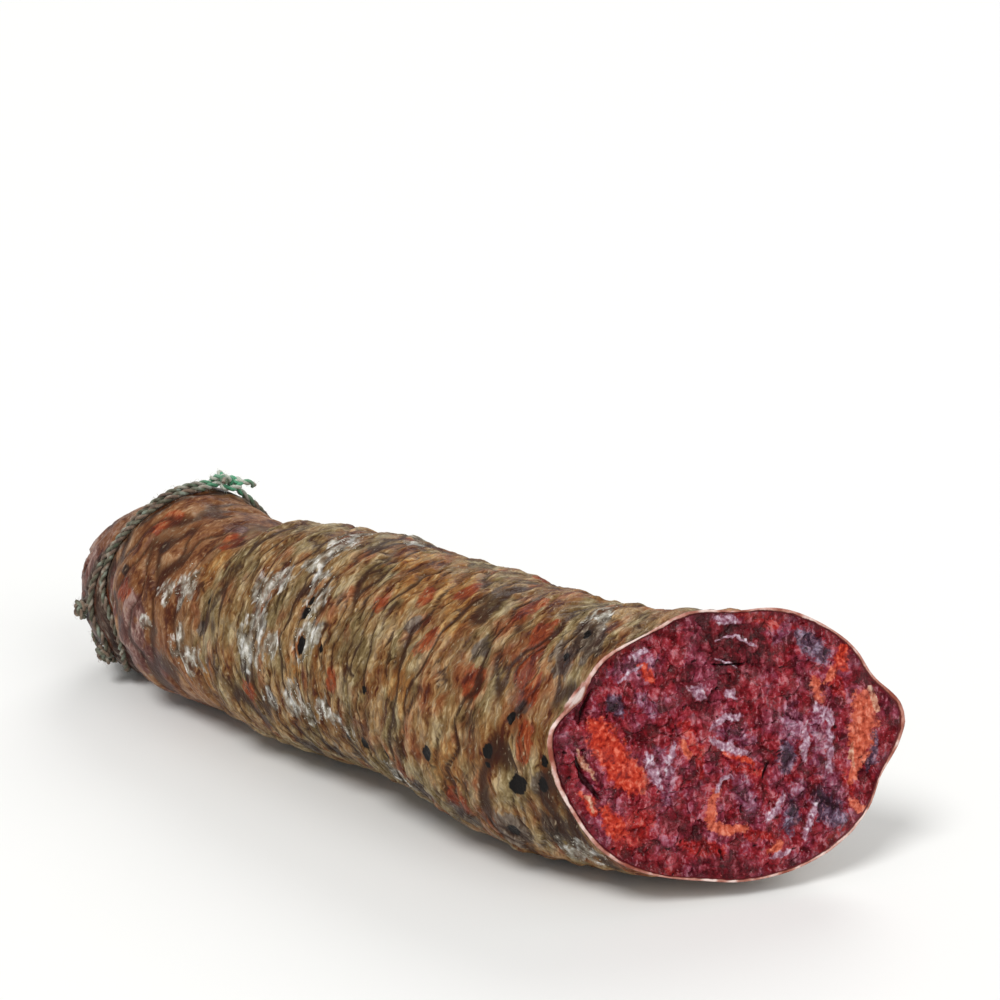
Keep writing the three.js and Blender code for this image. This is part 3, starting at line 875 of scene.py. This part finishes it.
# Relief and colour shares of the cut face, from places on it in mm
def faceSurface(u, v, fromEdge):
    look = meatLook
    noise = Noise(look["seed"])
    draw = np.random.default_rng(look["seed"])

    def layer(size, number):
        return flatNoise(noise, u, v, size, number)

    # places are bent, so that chunks and strokes have ragged edges
    bendU = 0.9 * layer(3.0, 1.0) + 0.35 * layer(0.9, 2.0)
    bendV = 0.9 * layer(3.0, 3.0) + 0.35 * layer(0.9, 4.0)
    wobble = 0.9 * layer(1.6, 5.0) + 0.5 * layer(0.7, 6.0)
    gap, tone = chunks(u + bendU, v + bendV, look["chunk"], draw)
    smallGap, _ = chunks(u + 0.7 * bendV, v - 0.7 * bendU, look["smallChunk"], draw)
    shares = {key: strokes(u + 0.8 * bendU, v + 0.8 * bendV, look[key], soft, taper, wobble)
              for key, (soft, taper) in look["strokeForms"].items()}
    cracks = strokes(u + 0.3 * bendU, v + 0.3 * bendV, look["cracks"], 0.25, 0.8, 0.3 * wobble)
    fat = np.maximum.reduce([shares[key] for key in ("deepOrange", "softOrange", "pale", "lilac")])
    lean = 1.0 - fat
    # seams are grooves between the chunks, later painted dark as shade
    seam = (1.0 - smoothRise(gap, 0.0, 0.24)) * lean
    smallSeam = (1.0 - smoothRise(smallGap, 0.0, 0.3)) * lean
    voids = smoothRise(layer(1.7, 9.0), 0.5, 0.75) * lean
    height = look["heights"]
    relief = height["broad"] * layer(5.0, 8.0) + height["seam"] * seam
    relief = relief + height["smallSeam"] * smallSeam + height["void"] * voids
    relief = relief + height["rough"] * layer(0.8, 7.0) * (1.0 - 0.7 * fat)
    relief = relief + height["chunk"] * (tone - 0.5) * lean + height["fat"] * fat
    relief = relief + height["crack"] * cracks
    relief = relief * smoothRise(fromEdge, 0.0, 0.05) - 0.15
    # the crack share, cracks and hollows together, is painted dark as shade
    shares.update(seam=seam, smallSeam=smallSeam, tone=tone, crack=np.maximum(cracks, 0.8 * voids),
                  dried=1.0 - smoothRise(fromEdge, 0.0, 0.16))
    return relief, shares


def cobble(points):
    u = points[..., 1] / body["cobbleSize"] * 2 * np.pi
    v = points[..., 2] / body["cobbleSize"] * 2 * np.pi
    bend, rate = body["cobbleBend"], body["cobbleBendRate"]
    across = np.sin(u + bend * np.sin(v * rate))
    return body["cobbleHeight"] * across * np.cos(v + bend * np.sin(u * rate))


# The face is a square grid drawn out to the round rim, so that it has no pole
def buildMeat():
    look = meatLook
    inset = body["meatInset"]
    count = look["grid"]
    a, b = np.meshgrid(np.linspace(-1, 1, count), np.linspace(-1, 1, count), indexing="ij")
    wide = np.abs(a) > np.abs(b)
    radius = np.where(wide, a, b)
    safe = np.where(radius == 0.0, 1.0, radius)
    angle = np.where(wide, np.pi / 4 * b / safe, np.pi / 2 - np.pi / 4 * a / safe)
    share = np.abs(radius)
    around = np.degrees(angle + np.where(radius < 0.0, np.pi, 0.0)) % 360.0
    rim = skinPoint(cutDistance(around, inset), around, inset)
    flat = cutMiddle + share[..., None] * (rim - cutMiddle)
    u, v = (flat - cutMiddle) @ cutAcross, (flat - cutMiddle) @ cutUp
    relief, shares = faceSurface(u, v, 1.0 - share)
    relief = relief + look["cobbleShare"] * cobble(flat) * smoothRise(1.0 - share, 0.0, 0.12)
    face = flat + relief[..., None] * cutNormal

    index = np.arange(count * count).reshape(count, count)
    faces = np.stack([index[:-1, :-1], index[1:, :-1], index[1:, 1:], index[:-1, 1:]], -1)
    faces = faces.reshape(-1, 4).tolist()
    border = np.concatenate([index[:-1, 0], index[-1, :-1], index[:0:-1, -1], index[0, :0:-1]])
    borderAround = around.ravel()[border]
    cut = cutDistance(borderAround, inset)
    sides = np.array([skinPoint((cut - look["sideSetback"]) * part, borderAround, body["meatSideInset"])
                      for part in np.linspace(1.0, 0.02, look["sideRings"])])
    first = count * count
    sideIndex = first + np.arange(sides.shape[0] * len(border)).reshape(sides.shape[:2])
    at = np.concatenate([border[None], sideIndex])
    nextAt = np.roll(at, -1, 1)
    faces += np.stack([at[:-1], nextAt[:-1], nextAt[1:], at[1:]], -1).reshape(-1, 4).tolist()
    end = first + sideIndex.size
    faces += [[p, q, end] for p, q in zip(at[-1], nextAt[-1])]
    pole = skinPoint(np.zeros(1), np.zeros(1), inset)
    points = np.concatenate([face.reshape(-1, 3), sides.reshape(-1, 3), pole])
    attributes = {key: np.concatenate([values.ravel(), np.zeros(len(points) - first)])
                  for key, values in shares.items()}
    return meshObject("meat", points, faces, attributes)


meat = buildMeat()
print("meat made,", len(meat.data.polygons), "faces")


# Materials. Each function adds its nodes and gives the inputs of the shader.

def makeMaterial(name, look, *values):
    material = bpy.data.materials.new(name)
    material.use_nodes = True
    material.node_tree.nodes.clear()
    add = partial(addNode, material.node_tree)
    shader = add("BsdfPrincipled", None, look(add, *values))
    add("OutputMaterial", None, {"Surface": shader})
    return material


# Pushes places about, so that the patterns drawn on them waver
def wavyPlace(add, place, size, reach):
    waver = add("TexNoise", None, {"Vector": place, "Scale": 1 / size, "Detail": 2.0})
    centred = add("VectorMath", "SUBTRACT", (waver.outputs["Color"], (0.5, 0.5, 0.5)))
    return add("VectorMath", "MULTIPLY_ADD", (centred, (reach, reach, reach), place))


# Natural casing: dried gut, matt on the bloom and satin on its ridges, with shade painted dark into its
# creases
def naturalCasing(add):
    raw, tone, ruddy, bloom = (shareOf(add, name) for name in ("raw", "tone", "ruddy", "bloom"))
    place = add("TexCoord").outputs["Object"]
    flow = add("Attribute", {"attribute_name": "flow"}).outputs["Vector"]
    wavy = wavyPlace(add, flow, 3.5, 2.0)

    def drawnOut(times):
        return add("VectorMath", "MULTIPLY", (wavy, (1.0, 1.0 / times, 1.0 / times)))

    # in millimetres on the flow, drawn out round the body
    def pattern(size, times, detail):
        return add("TexNoise", None,
                   {"Vector": drawnOut(times), "Scale": 1.0 / size, "Detail": detail})

    broad = pattern(7.0, 2.2, 3.0)
    patchy = pattern(4.5, 2.4, 4.0)
    fine = pattern(0.5, 3.0, 4.0)
    powdery = pattern(1.6, 2.4, 6.0)
    scales = add("TexVoronoi", {"feature": "DISTANCE_TO_EDGE"},
                 {"Vector": drawnOut(4.6), "Scale": 1 / 1.05}).outputs["Distance"]
    smooth = add("Math", "MULTIPLY", (raw, 0.75))
    streak = add("Mix", None, {0: smooth, 2: pattern(1.5, 4.2, 5.0), 3: patchy})
    toned = add("Math", "MULTIPLY_ADD", (tone, 0.22, streak))
    lit = add("Math", "MULTIPLY_ADD", (fine, 0.55, toned))
    cream = add("TexNoise", None, {"Vector": place, "Scale": 1.0 / (4.0 * mm), "Detail": 4.0})
    # painted shade along the edges of the plates, where the bump sinks grooves
    plateEdgeShade = add("Math", "SUBTRACT", (1.0, scales))
    plateEdgeShade = add("Math", "MULTIPLY_ADD", (raw, -0.12, plateEdgeShade))
    redder = add("Math", "MULTIPLY_ADD", (ruddy, 0.06, patchy))
    grain = add("Mix", None, {0: 0.5, 2: streak, 3: fine})

    def tones(texts):
        return ramp(add, lit, 0.66, 1.06, texts)

    powder = ramp(add, powdery, 0.37, 0.64, "#3d3328 #776f64 #a8a59a #ecebe6")
    base = paintLayers(add, tones("#461b07 #724923 #937045 #bd9c71"), grain, [
        (broad, 0.0, 0.37, 0.63, 0.9, tones("#3b2a10 #695836 #8b7a55 #b7a884")),  # olive
        (redder, 0.0, 0.48, 0.74, 0.9, tones("#491605 #743a1b #915331 #b8835a")),
        ("raw", 0.3, 0.1, 0.9, 0.82, tones("#471b0a #69391c #815231 #a17856")),
        ("golden", 1.8, 0.25, 1.1, 0.85, tones("#4a2207 #7d491c #9c6b35 #c39b62")),
        ("plum", 1.4, 0.25, 0.8, 0.85, tones("#2a0d0b #502b28 #6f4a46 #9b807a")),
        ("rust", 2.2, 0.35, 0.8, 0.9, tones("#4a1104 #762b10 #923f1c #ad6c44")),
        # stains, with painted shade low on the side and beside the twine
        ("dark", 1.6, 0.28, 0.9, 0.88, tones("#150d0b #2f231e #50443b #8e8377")),
        (plateEdgeShade, 1.6, 0.88, 1.06, 0.45, "#341606"),
        # painted shade in the creases
        ("crease", 0.8, 0.32, 0.9, 0.84, "#2e1104"),
        ("bloom", 2.7, 0.4, 1.15, 0.85, powder),
        ("crease", 0.8, 0.6, 1.15, 0.6, "#2a140a"),  # painted shade in the creases, through the bloom
        (fine, 0.0, 0.6, 0.76, 0.38, "#cdb898"),  # pale flecks
        # near-black pits: dark peppercorns, and painted shade in the holes
        ("pit", 0.3, 0.3, 0.6, 1.0, "#0b0605"),
        ("flesh", 0.3, 0.2, 0.9, 1.0, "#5a161c"),
        ("edge", 1.2, 0.3, 0.7, 1.0, ramp(add, cream, 0.36, 0.64, "#8e4a3a #bd8577 #e8cfc6")),
        ("edge", 1.0, 1.15, 1.7, 0.8, "#e0d0c9"),  # the curl
    ])
    dryness = add("MapRange", None, (bloom, 0.0, 1.0, 0.5, 0.75))
    roughness = add("Math", {"operation": "MULTIPLY_ADD", "use_clamp": True}, (streak, -0.2, dryness))
    bump = add("Bump", None, {"Strength": 0.5, "Distance": 0.2 * mm, "Height": scales})
    for height, strength, depth in ((streak, 1.0, 0.55), (fine, 0.8, 0.2)):
        bump = add("Bump", None, {"Strength": strength, "Distance": depth * mm, "Height": height,
                                  "Normal": bump})
    return {"Base Color": base, "Roughness": roughness, "IOR": 1.45, "Specular IOR Level": 0.2,
            "Normal": bump}


# Cured meat: minced lean and fat, moist where it was cut, so its gloss breaks up on the grain
def curedMeat(add):
    chunkTone, gloss = shareOf(add, "tone"), shareOf(add, "gloss")
    wavy = wavyPlace(add, add("TexCoord").outputs["Object"], 2.6 * mm, 1.6 * mm)

    def pattern(size, detail, shift):
        moved = add("VectorMath", "ADD", (wavy, (shift, shift, 0.0)))
        return add("TexNoise", None,
                   {"Vector": moved, "Scale": 1.0 / (size * mm), "Detail": detail})

    def fibres(turn, thickness):
        turned = add("Mapping", None, {"Vector": wavy, "Rotation": (math.radians(turn), 0.0, 0.0),
                                       "Scale": (1.0, 1.0, 0.22)})
        return add("TexNoise", None,
                   {"Vector": turned, "Scale": 1.0 / (thickness * mm), "Detail": 3.0})

    grain = pattern(0.6, 4.0, 0.0)
    mottle = pattern(1.9, 5.0, 0.1)
    area = pattern(6.0, 3.0, 0.2)
    where = pattern(3.2, 3.0, 0.5)
    # the fibre streaks run three ways, each in its own patches; painted pale, they are sinew and
    # painted highlights together
    fibre = fibres(8.0, 0.85)
    for patches, other in ((area, fibres(68.0, 0.75)), (where, fibres(-50.0, 0.95))):
        patch = add("MapRange", None, (patches, 0.47, 0.53))
        fibre = add("Mix", None, {0: patch, 2: fibre, 3: other})

    tone = add("Math", "MULTIPLY_ADD", (chunkTone, 0.22, mottle))
    tone = add("Math", "MULTIPLY_ADD", (fibre, 0.6, tone))
    tone = add("Math", "MULTIPLY_ADD", (grain, 0.4, tone))
    fatTone = add("Math", "MULTIPLY_ADD", (fibre, 0.6, pattern(1.0, 5.0, 0.7)))

    def lean(texts):
        return ramp(add, tone, 0.9, 1.36, texts)

    def fatty(texts):
        return ramp(add, fatTone, 0.62, 1.0, texts)

    base = paintLayers(add, lean("#4b0006 #770f19 #992b35 #bd6e75"), grain, [
        (area, 0.3, 0.44, 0.6, 1.0, lean("#43020e #6e1b2b #8c3548 #b37284")),
        ("red", 1.4, 0.25, 1.0, 0.8, lean("#640403 #94140f #b32c22 #cc5e4e")),
        ("haze", 1.6, 0.25, 1.1, 0.62, lean("#3c0a1c #68304a #8c6079 #bba3b6")),
        ("slate", 1.2, 0.25, 0.95, 0.85, lean("#1a111c #35293c #584e62 #92899f")),
        ("dried", 1.2, 0.4, 1.2, 0.6, "#3e050c"),
        # pale streaks: sinew, with painted highlights of the wet grain
        (fibre, 0.5, 0.56, 0.74, 0.55, "#b97a84"),
        (pattern(0.5, 3.0, 0.6), 0.0, 0.64, 0.76, 0.4, "#cfa3a6"),  # specks
        ("gloss", 0.9, 0.2, 0.75, 0.88, lean("#300005 #4d030d #680c18 #96404a")),
        # painted shade in the grooves between the chunks
        ("smallSeam", 1.2, 0.5, 1.2, 0.3, "#2c0207"),
        ("seam", 1.2, 0.4, 1.2, 0.5, "#2a0206"),
        ("softOrange", 1.8, 0.25, 0.9, 1.0, fatty("#86301f #b24c36 #ca634a #e0866e")),
        ("deepOrange", 1.8, 0.25, 0.9, 1.0, fatty("#7a1007 #a82a1a #c2422c #dc705a")),
        ("pale", 1.2, 0.35, 0.9, 0.85, fatty("#8a4632 #b0715a #c9957c #dfbda6")),
        ("lilac", 1.3, 0.2, 1.0, 0.95, fatty("#6a3042 #936779 #b898a8 #ddd0da")),
        # painted shade in the cracks and hollows
        ("crack", 0.4, 0.2, 0.8, 0.9, "#220205"),
    ])
    clamped = {"operation": "MULTIPLY_ADD", "use_clamp": True}
    damp = add("MapRange", None, (where, 0.4, 0.6, 0.42, 0.24))
    film = add("MapRange", None, (where, 0.46, 0.62, 0.12, 0.4))
    bump = add("Bump", None, {"Strength": 0.9, "Distance": 0.9 * mm, "Height": mottle})
    bump = add("Bump", None, {"Strength": 0.9, "Distance": 0.4 * mm, "Height": fibre, "Normal": bump})
    return {"Base Color": base, "Roughness": add("Math", clamped, (gloss, -0.14, damp)), "IOR": 1.42,
            "Specular IOR Level": add("Math", clamped, (gloss, 0.05, film)), "Normal": bump,
            "Subsurface Weight": 0.08, "Subsurface Radius": (1.0, 0.35, 0.2),
            "Subsurface Scale": 0.8 * mm}


# Cotton twine: matt fibres, soiled by the sausage away from the knot
def cottonTwine(add, clean, soiled):
    place = add("TexCoord").outputs["Object"]
    fromKnot = add("VectorMath", "DISTANCE", (place, tuple((tieMiddle + toFrame) * mm)))
    dirt = add("MapRange", None, (fromKnot, 3.0 * mm, 11.0 * mm, 0.1, 0.8))
    blotches, strands = (
        add("TexNoise", None, {"Vector": place, "Scale": 1.0 / (size * mm), "Detail": 3.0})
        for size in (2.5, 0.25))
    grime = ramp(add, blotches, 0.36, 0.68, soiled)
    base = paintLayers(add, ramp(add, strands, 0.3, 0.7, clean), blotches,
                       [(dirt, 0.7, 0.0, 0.8, 0.95, grime)])
    bump = add("Bump", None, {"Strength": 0.7, "Distance": 0.15 * mm, "Height": strands})
    return {"Base Color": base, "Roughness": 0.85, "IOR": 1.5, "Specular IOR Level": 0.3,
            "Normal": bump, "Sheen Weight": 0.1}


# Dried bloom: chalky grains
def driedBloom(add):
    place = add("TexCoord").outputs["Object"]
    tone = add("TexNoise", None, {"Vector": place, "Scale": 1.0 / (1.5 * mm), "Detail": 3.0})
    return {"Base Color": ramp(add, tone, 0.35, 0.65, "#7d735e #d5d2c6"), "Roughness": 0.7,
            "IOR": 1.45, "Specular IOR Level": 0.4}


casingSkin.data.materials.append(makeMaterial("natural casing, dried and wrinkled", naturalCasing))
meat.data.materials.append(makeMaterial("cured meat, cut and moist", curedMeat))


# Twine of two plies, its loose fibres and the grains of bloom, by Geometry Nodes

def routeCurve(paths):
    curve = bpy.data.curves.new("twineRoutes", "CURVE")
    curve.dimensions = "3D"
    for path, closed in paths:
        spline = curve.splines.new("POLY")
        spline.points.add(len(path) - 1)
        places = np.concatenate([(path + toFrame) * mm, np.ones((len(path), 1))], 1)
        spline.points.foreach_set("co", places.ravel())
        spline.use_cyclic_u = closed
    return linkedObject("twineRoutes", curve)


# Builds a tree with a named input for each value, which ends in Realize Instances and Set
# Material, runs it on a piece and gives a plain mesh object
def grow(source, name, build, values):
    tree = bpy.data.node_groups.new(name, "GeometryNodeTree")
    add = partial(addNode, tree)
    kinds = {float: "Float", int: "Int"}
    sockets = [("Geometry", "Geometry")]
    sockets += [(label, kinds.get(type(value), "Material")) for label, value in values.items()]
    for label, kind in sockets:
        tree.interface.new_socket(label, in_out="INPUT", socket_type="NodeSocket" + kind)
    tree.interface.new_socket("Geometry", in_out="OUTPUT", socket_type="NodeSocketGeometry")
    given = add("NodeGroupInput").outputs
    real = add("GeometryNodeRealizeInstances", None, {"Geometry": build(add, given)})
    finish = add("GeometryNodeSetMaterial", None, {"Geometry": real, "Material": given["Material"]})
    add("NodeGroupOutput", None, {"Geometry": finish})

    modifier = source.modifiers.new("grow", "NODES")
    modifier.node_group = tree
    for item in tree.interface.items_tree:
        if item.in_out == "INPUT" and item.name in values:
            modifier[item.identifier] = values[item.name]
    bpy.context.view_layer.update()
    evaluated = source.evaluated_get(bpy.context.evaluated_depsgraph_get())
    mesh = bpy.data.meshes.new_from_object(evaluated)
    mesh.name = name
    source.modifiers.remove(modifier)
    return linkedObject(name, mesh)


def tube(add, path, sides, radius):
    section = add("GeometryNodeCurvePrimitiveCircle", {"mode": "RADIUS"},
                  {"Resolution": sides, "Radius": radius})
    return add("GeometryNodeCurveToMesh", None,
               {"Curve": path, "Profile Curve": section, "Fill Caps": True})


# A ply that winds round the route
def plyNodes(add, given):
    even = add("GeometryNodeResampleCurve", {"mode": "LENGTH"},
               {"Curve": given["Geometry"], "Length": given["Step"]})
    place = add("GeometryNodeSplineParameter")
    turns = add("Math", "DIVIDE", (place.outputs["Length"], given["Twist length"]))
    angle = add("Math", "MULTIPLY_ADD", (turns, 2 * math.pi, given["Phase"]))
    normal = add("GeometryNodeInputNormal")
    side = add("VectorMath", "CROSS_PRODUCT", (add("GeometryNodeInputTangent"), normal))
    parts = [add("VectorMath", "SCALE", {0: axis, "Scale": add("Math", wave, (angle,))})
             for axis, wave in ((normal, "COSINE"), (side, "SINE"))]
    both = add("VectorMath", "ADD", tuple(parts))
    offset = add("VectorMath", "SCALE", {0: both, "Scale": given["Offset"]})
    moved = add("GeometryNodeSetPosition", None, {"Geometry": even, "Offset": offset})
    return tube(add, moved, 8, given["Ply radius"])


# Copies of a shape strewn over the faces, on end unless they are turned
def scattered(add, given, density, shape, scale, turned=None):
    spread = add("GeometryNodeDistributePointsOnFaces", None,
                 {"Mesh": given["Geometry"], "Density": density, "Seed": given["Seed"]})
    rotation = spread.outputs["Rotation"]
    if turned is not None:
        rotation = add("FunctionNodeRotateEuler", {"space": "LOCAL"},
                       {"Rotation": rotation, "Rotate By": turned})
    return add("GeometryNodeInstanceOnPoints", None,
               {"Points": spread.outputs["Points"], "Instance": shape, "Rotation": rotation,
                "Scale": scale})


# Bent fibres that stand off the twine
def fibreNodes(add, given):
    upright = add("CombineXYZ", None, {"Z": given["Length"]})
    bend = add("VectorMath", "MULTIPLY", (upright, (0.0, 0.0, 0.6)))
    level = add("CombineXYZ", None, {"X": given["Length"]})
    tip = add("VectorMath", "MULTIPLY_ADD", (level, (0.7, 0.0, 0.0), bend))
    line = add("GeometryNodeCurveQuadraticBezier", None,
               {"Resolution": 4, "Start": (0.0, 0.0, 0.0), "Middle": bend, "End": tip})
    turned = add("FunctionNodeRandomValue", {"data_type": "FLOAT_VECTOR"},
                 {0: (-0.9, -0.9, 0.0), 1: (0.9, 0.9, 6.28), "Seed": given["Seed"]})
    size = add("FunctionNodeRandomValue", {"data_type": "FLOAT"},
               {2: 0.4, 3: 1.2, "Seed": given["Seed"]})
    fibre = tube(add, line, 3, given["Thickness"])
    return scattered(add, given, given["Density"], fibre, size, turned)


# Grains of dried bloom where the casing's bloom share is high
def grainNodes(add, given):
    bloom = add("GeometryNodeInputNamedAttribute", {"data_type": "FLOAT"}, {"Name": "bloom"})
    strong = add("Math", "POWER", (bloom, 1.5))
    density = add("Math", "MULTIPLY", (strong, given["Density"]))
    grain = add("GeometryNodeMeshIcoSphere", None, {"Radius": given["Radius"], "Subdivisions": 1})
    size = add("FunctionNodeRandomValue", {"data_type": "FLOAT_VECTOR"},
               {0: (0.5, 0.5, 0.3), 1: (1.5, 1.9, 0.7), "Seed": given["Seed"]})
    return scattered(add, given, density, grain, size)


routes = routeCurve([(path, False) for path in wrapPaths + strandPaths + tieEndPaths]
                    + [(path, True) for path in knotPaths])
plies = []
for name, phase, clean, soiled in (
    ("twinePalePly", 0.0, "#a3ab9a #dfe3d8", "#4f3428 #78614f #a39f90"),
    ("twineGreenPly", math.pi, "#2f8a60 #6fb793", "#463126 #6a6354 #8b9386"),
):
    plies.append(grow(routes, name, plyNodes, {
        "Ply radius": twineLook["plyRadius"] * mm, "Offset": twineLook["plyOffset"] * mm,
        "Twist length": twineLook["twistLength"] * mm, "Phase": phase, "Step": 0.5 * mm,
        "Material": makeMaterial("cotton twine, " + name, cottonTwine, clean, soiled),
    }))
bpy.data.objects.remove(routes)
fibres = grow(plies[0], "twineFibres", fibreNodes, {
    "Density": 1.1e6, "Length": 1.3 * mm, "Thickness": 0.022 * mm, "Seed": 3,
    "Material": plies[0].data.materials[0],
})
bloomGrains = grow(casingSkin, "bloomGrains", grainNodes, {
    "Density": 0.45e6, "Radius": 0.15 * mm, "Seed": 5,
    "Material": makeMaterial("dried bloom, chalky", driedBloom),
})
twinePieces = (*plies, fibres)
for piece in twinePieces:
    piece.data.polygons.foreach_set("use_smooth", [True] * len(piece.data.polygons))
    piece.data.update()
print("twine made,", [len(piece.data.polygons) for piece in twinePieces], "faces")
print("bloom made,", len(bloomGrains.data.polygons), "faces")

for piece, slot in ((casingSkin, "casing"), (bloomGrains, "casing"), (meat, "filling"),
                    *((piece, "twine") for piece in twinePieces)):
    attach(piece, "root")
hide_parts("casing")
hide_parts("filling")
for piece in plies:
    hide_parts("twine")


# Floor, light and camera

studio = {
    "azimuth": 42.0,             # 0 looks along +Y, 90 along -X
    "elevation": 17.0,
    "distance": 440.0,
    "target": (39.2, 0.0, 72.2),
    "focal": 73.944,
    "floorSize": 30.0,           # metres
    "floorColour": "#f1f1ef",
    "world": 0.42,
    "lights": [                  # azimuth, elevation, strength and how wide the light is
        ("key", 8.0, 56.0, 1.7, 22.0),
        ("side", 84.0, 34.0, 0.7, 40.0),
        ("behind", 205.0, 42.0, 0.8, 30.0),
    ],
}


def towards(azimuth, elevation):
    azimuth, elevation = math.radians(azimuth), math.radians(elevation)
    level = math.cos(elevation)
    return Vector((math.sin(azimuth) * level, -math.cos(azimuth) * level, math.sin(elevation)))


# A pale matt floor, near white like the photo's ground
def paleFloor(_):
    return {"Base Color": studio["floorColour"], "Roughness": 0.9, "Specular IOR Level": 0.2}


def buildStudio():
    half = studio["floorSize"] / 2
    mesh = bpy.data.meshes.new("floor")
    corners = [(-half, -half, 0), (half, -half, 0), (half, half, 0), (-half, half, 0)]
    mesh.from_pydata(corners, [], [(0, 1, 2, 3)])
    mesh.materials.append(makeMaterial("pale matt floor", paleFloor))
    floor = linkedObject("floor", mesh)

    world = bpy.data.worlds.new("studio")
    world.use_nodes = True
    world.node_tree.nodes.clear()
    add = partial(addNode, world.node_tree)
    ray = add("LightPath").outputs["Is Camera Ray"]
    strength = add("MapRange", None, (ray, 0.0, 1.0, studio["world"], 1.0))    # white to the camera
    sky = add("Background", None, {"Color": "#ffffff", "Strength": strength})
    add("OutputWorld", None, {"Surface": sky})
    bpy.context.scene.world = world
    for name, azimuth, elevation, strength, width in studio["lights"]:
        light = bpy.data.lights.new(name, "SUN")
        light.energy = strength
        light.angle = math.radians(width)
        holder = linkedObject(name, light)
        holder.rotation_euler = towards(azimuth, elevation).to_track_quat("Z", "Y").to_euler()
    bpy.context.scene.view_settings.view_transform = "Standard"


def buildCamera():
    back = np.array(towards(studio["azimuth"], studio["elevation"]))
    target = np.array(studio["target"]) + toFrame
    data = bpy.data.cameras.new("camera")
    data.lens = studio["focal"]
    data.sensor_width = 36.0
    data.clip_start = 0.02
    data.clip_end = 50.0
    camera = linkedObject("camera", data)
    camera.location = (target + back * studio["distance"]) * mm
    camera.rotation_euler = Vector(-back).to_track_quat("-Z", "Y").to_euler()
    bpy.context.scene.camera = camera


buildStudio()
buildCamera()
print("studio ready")
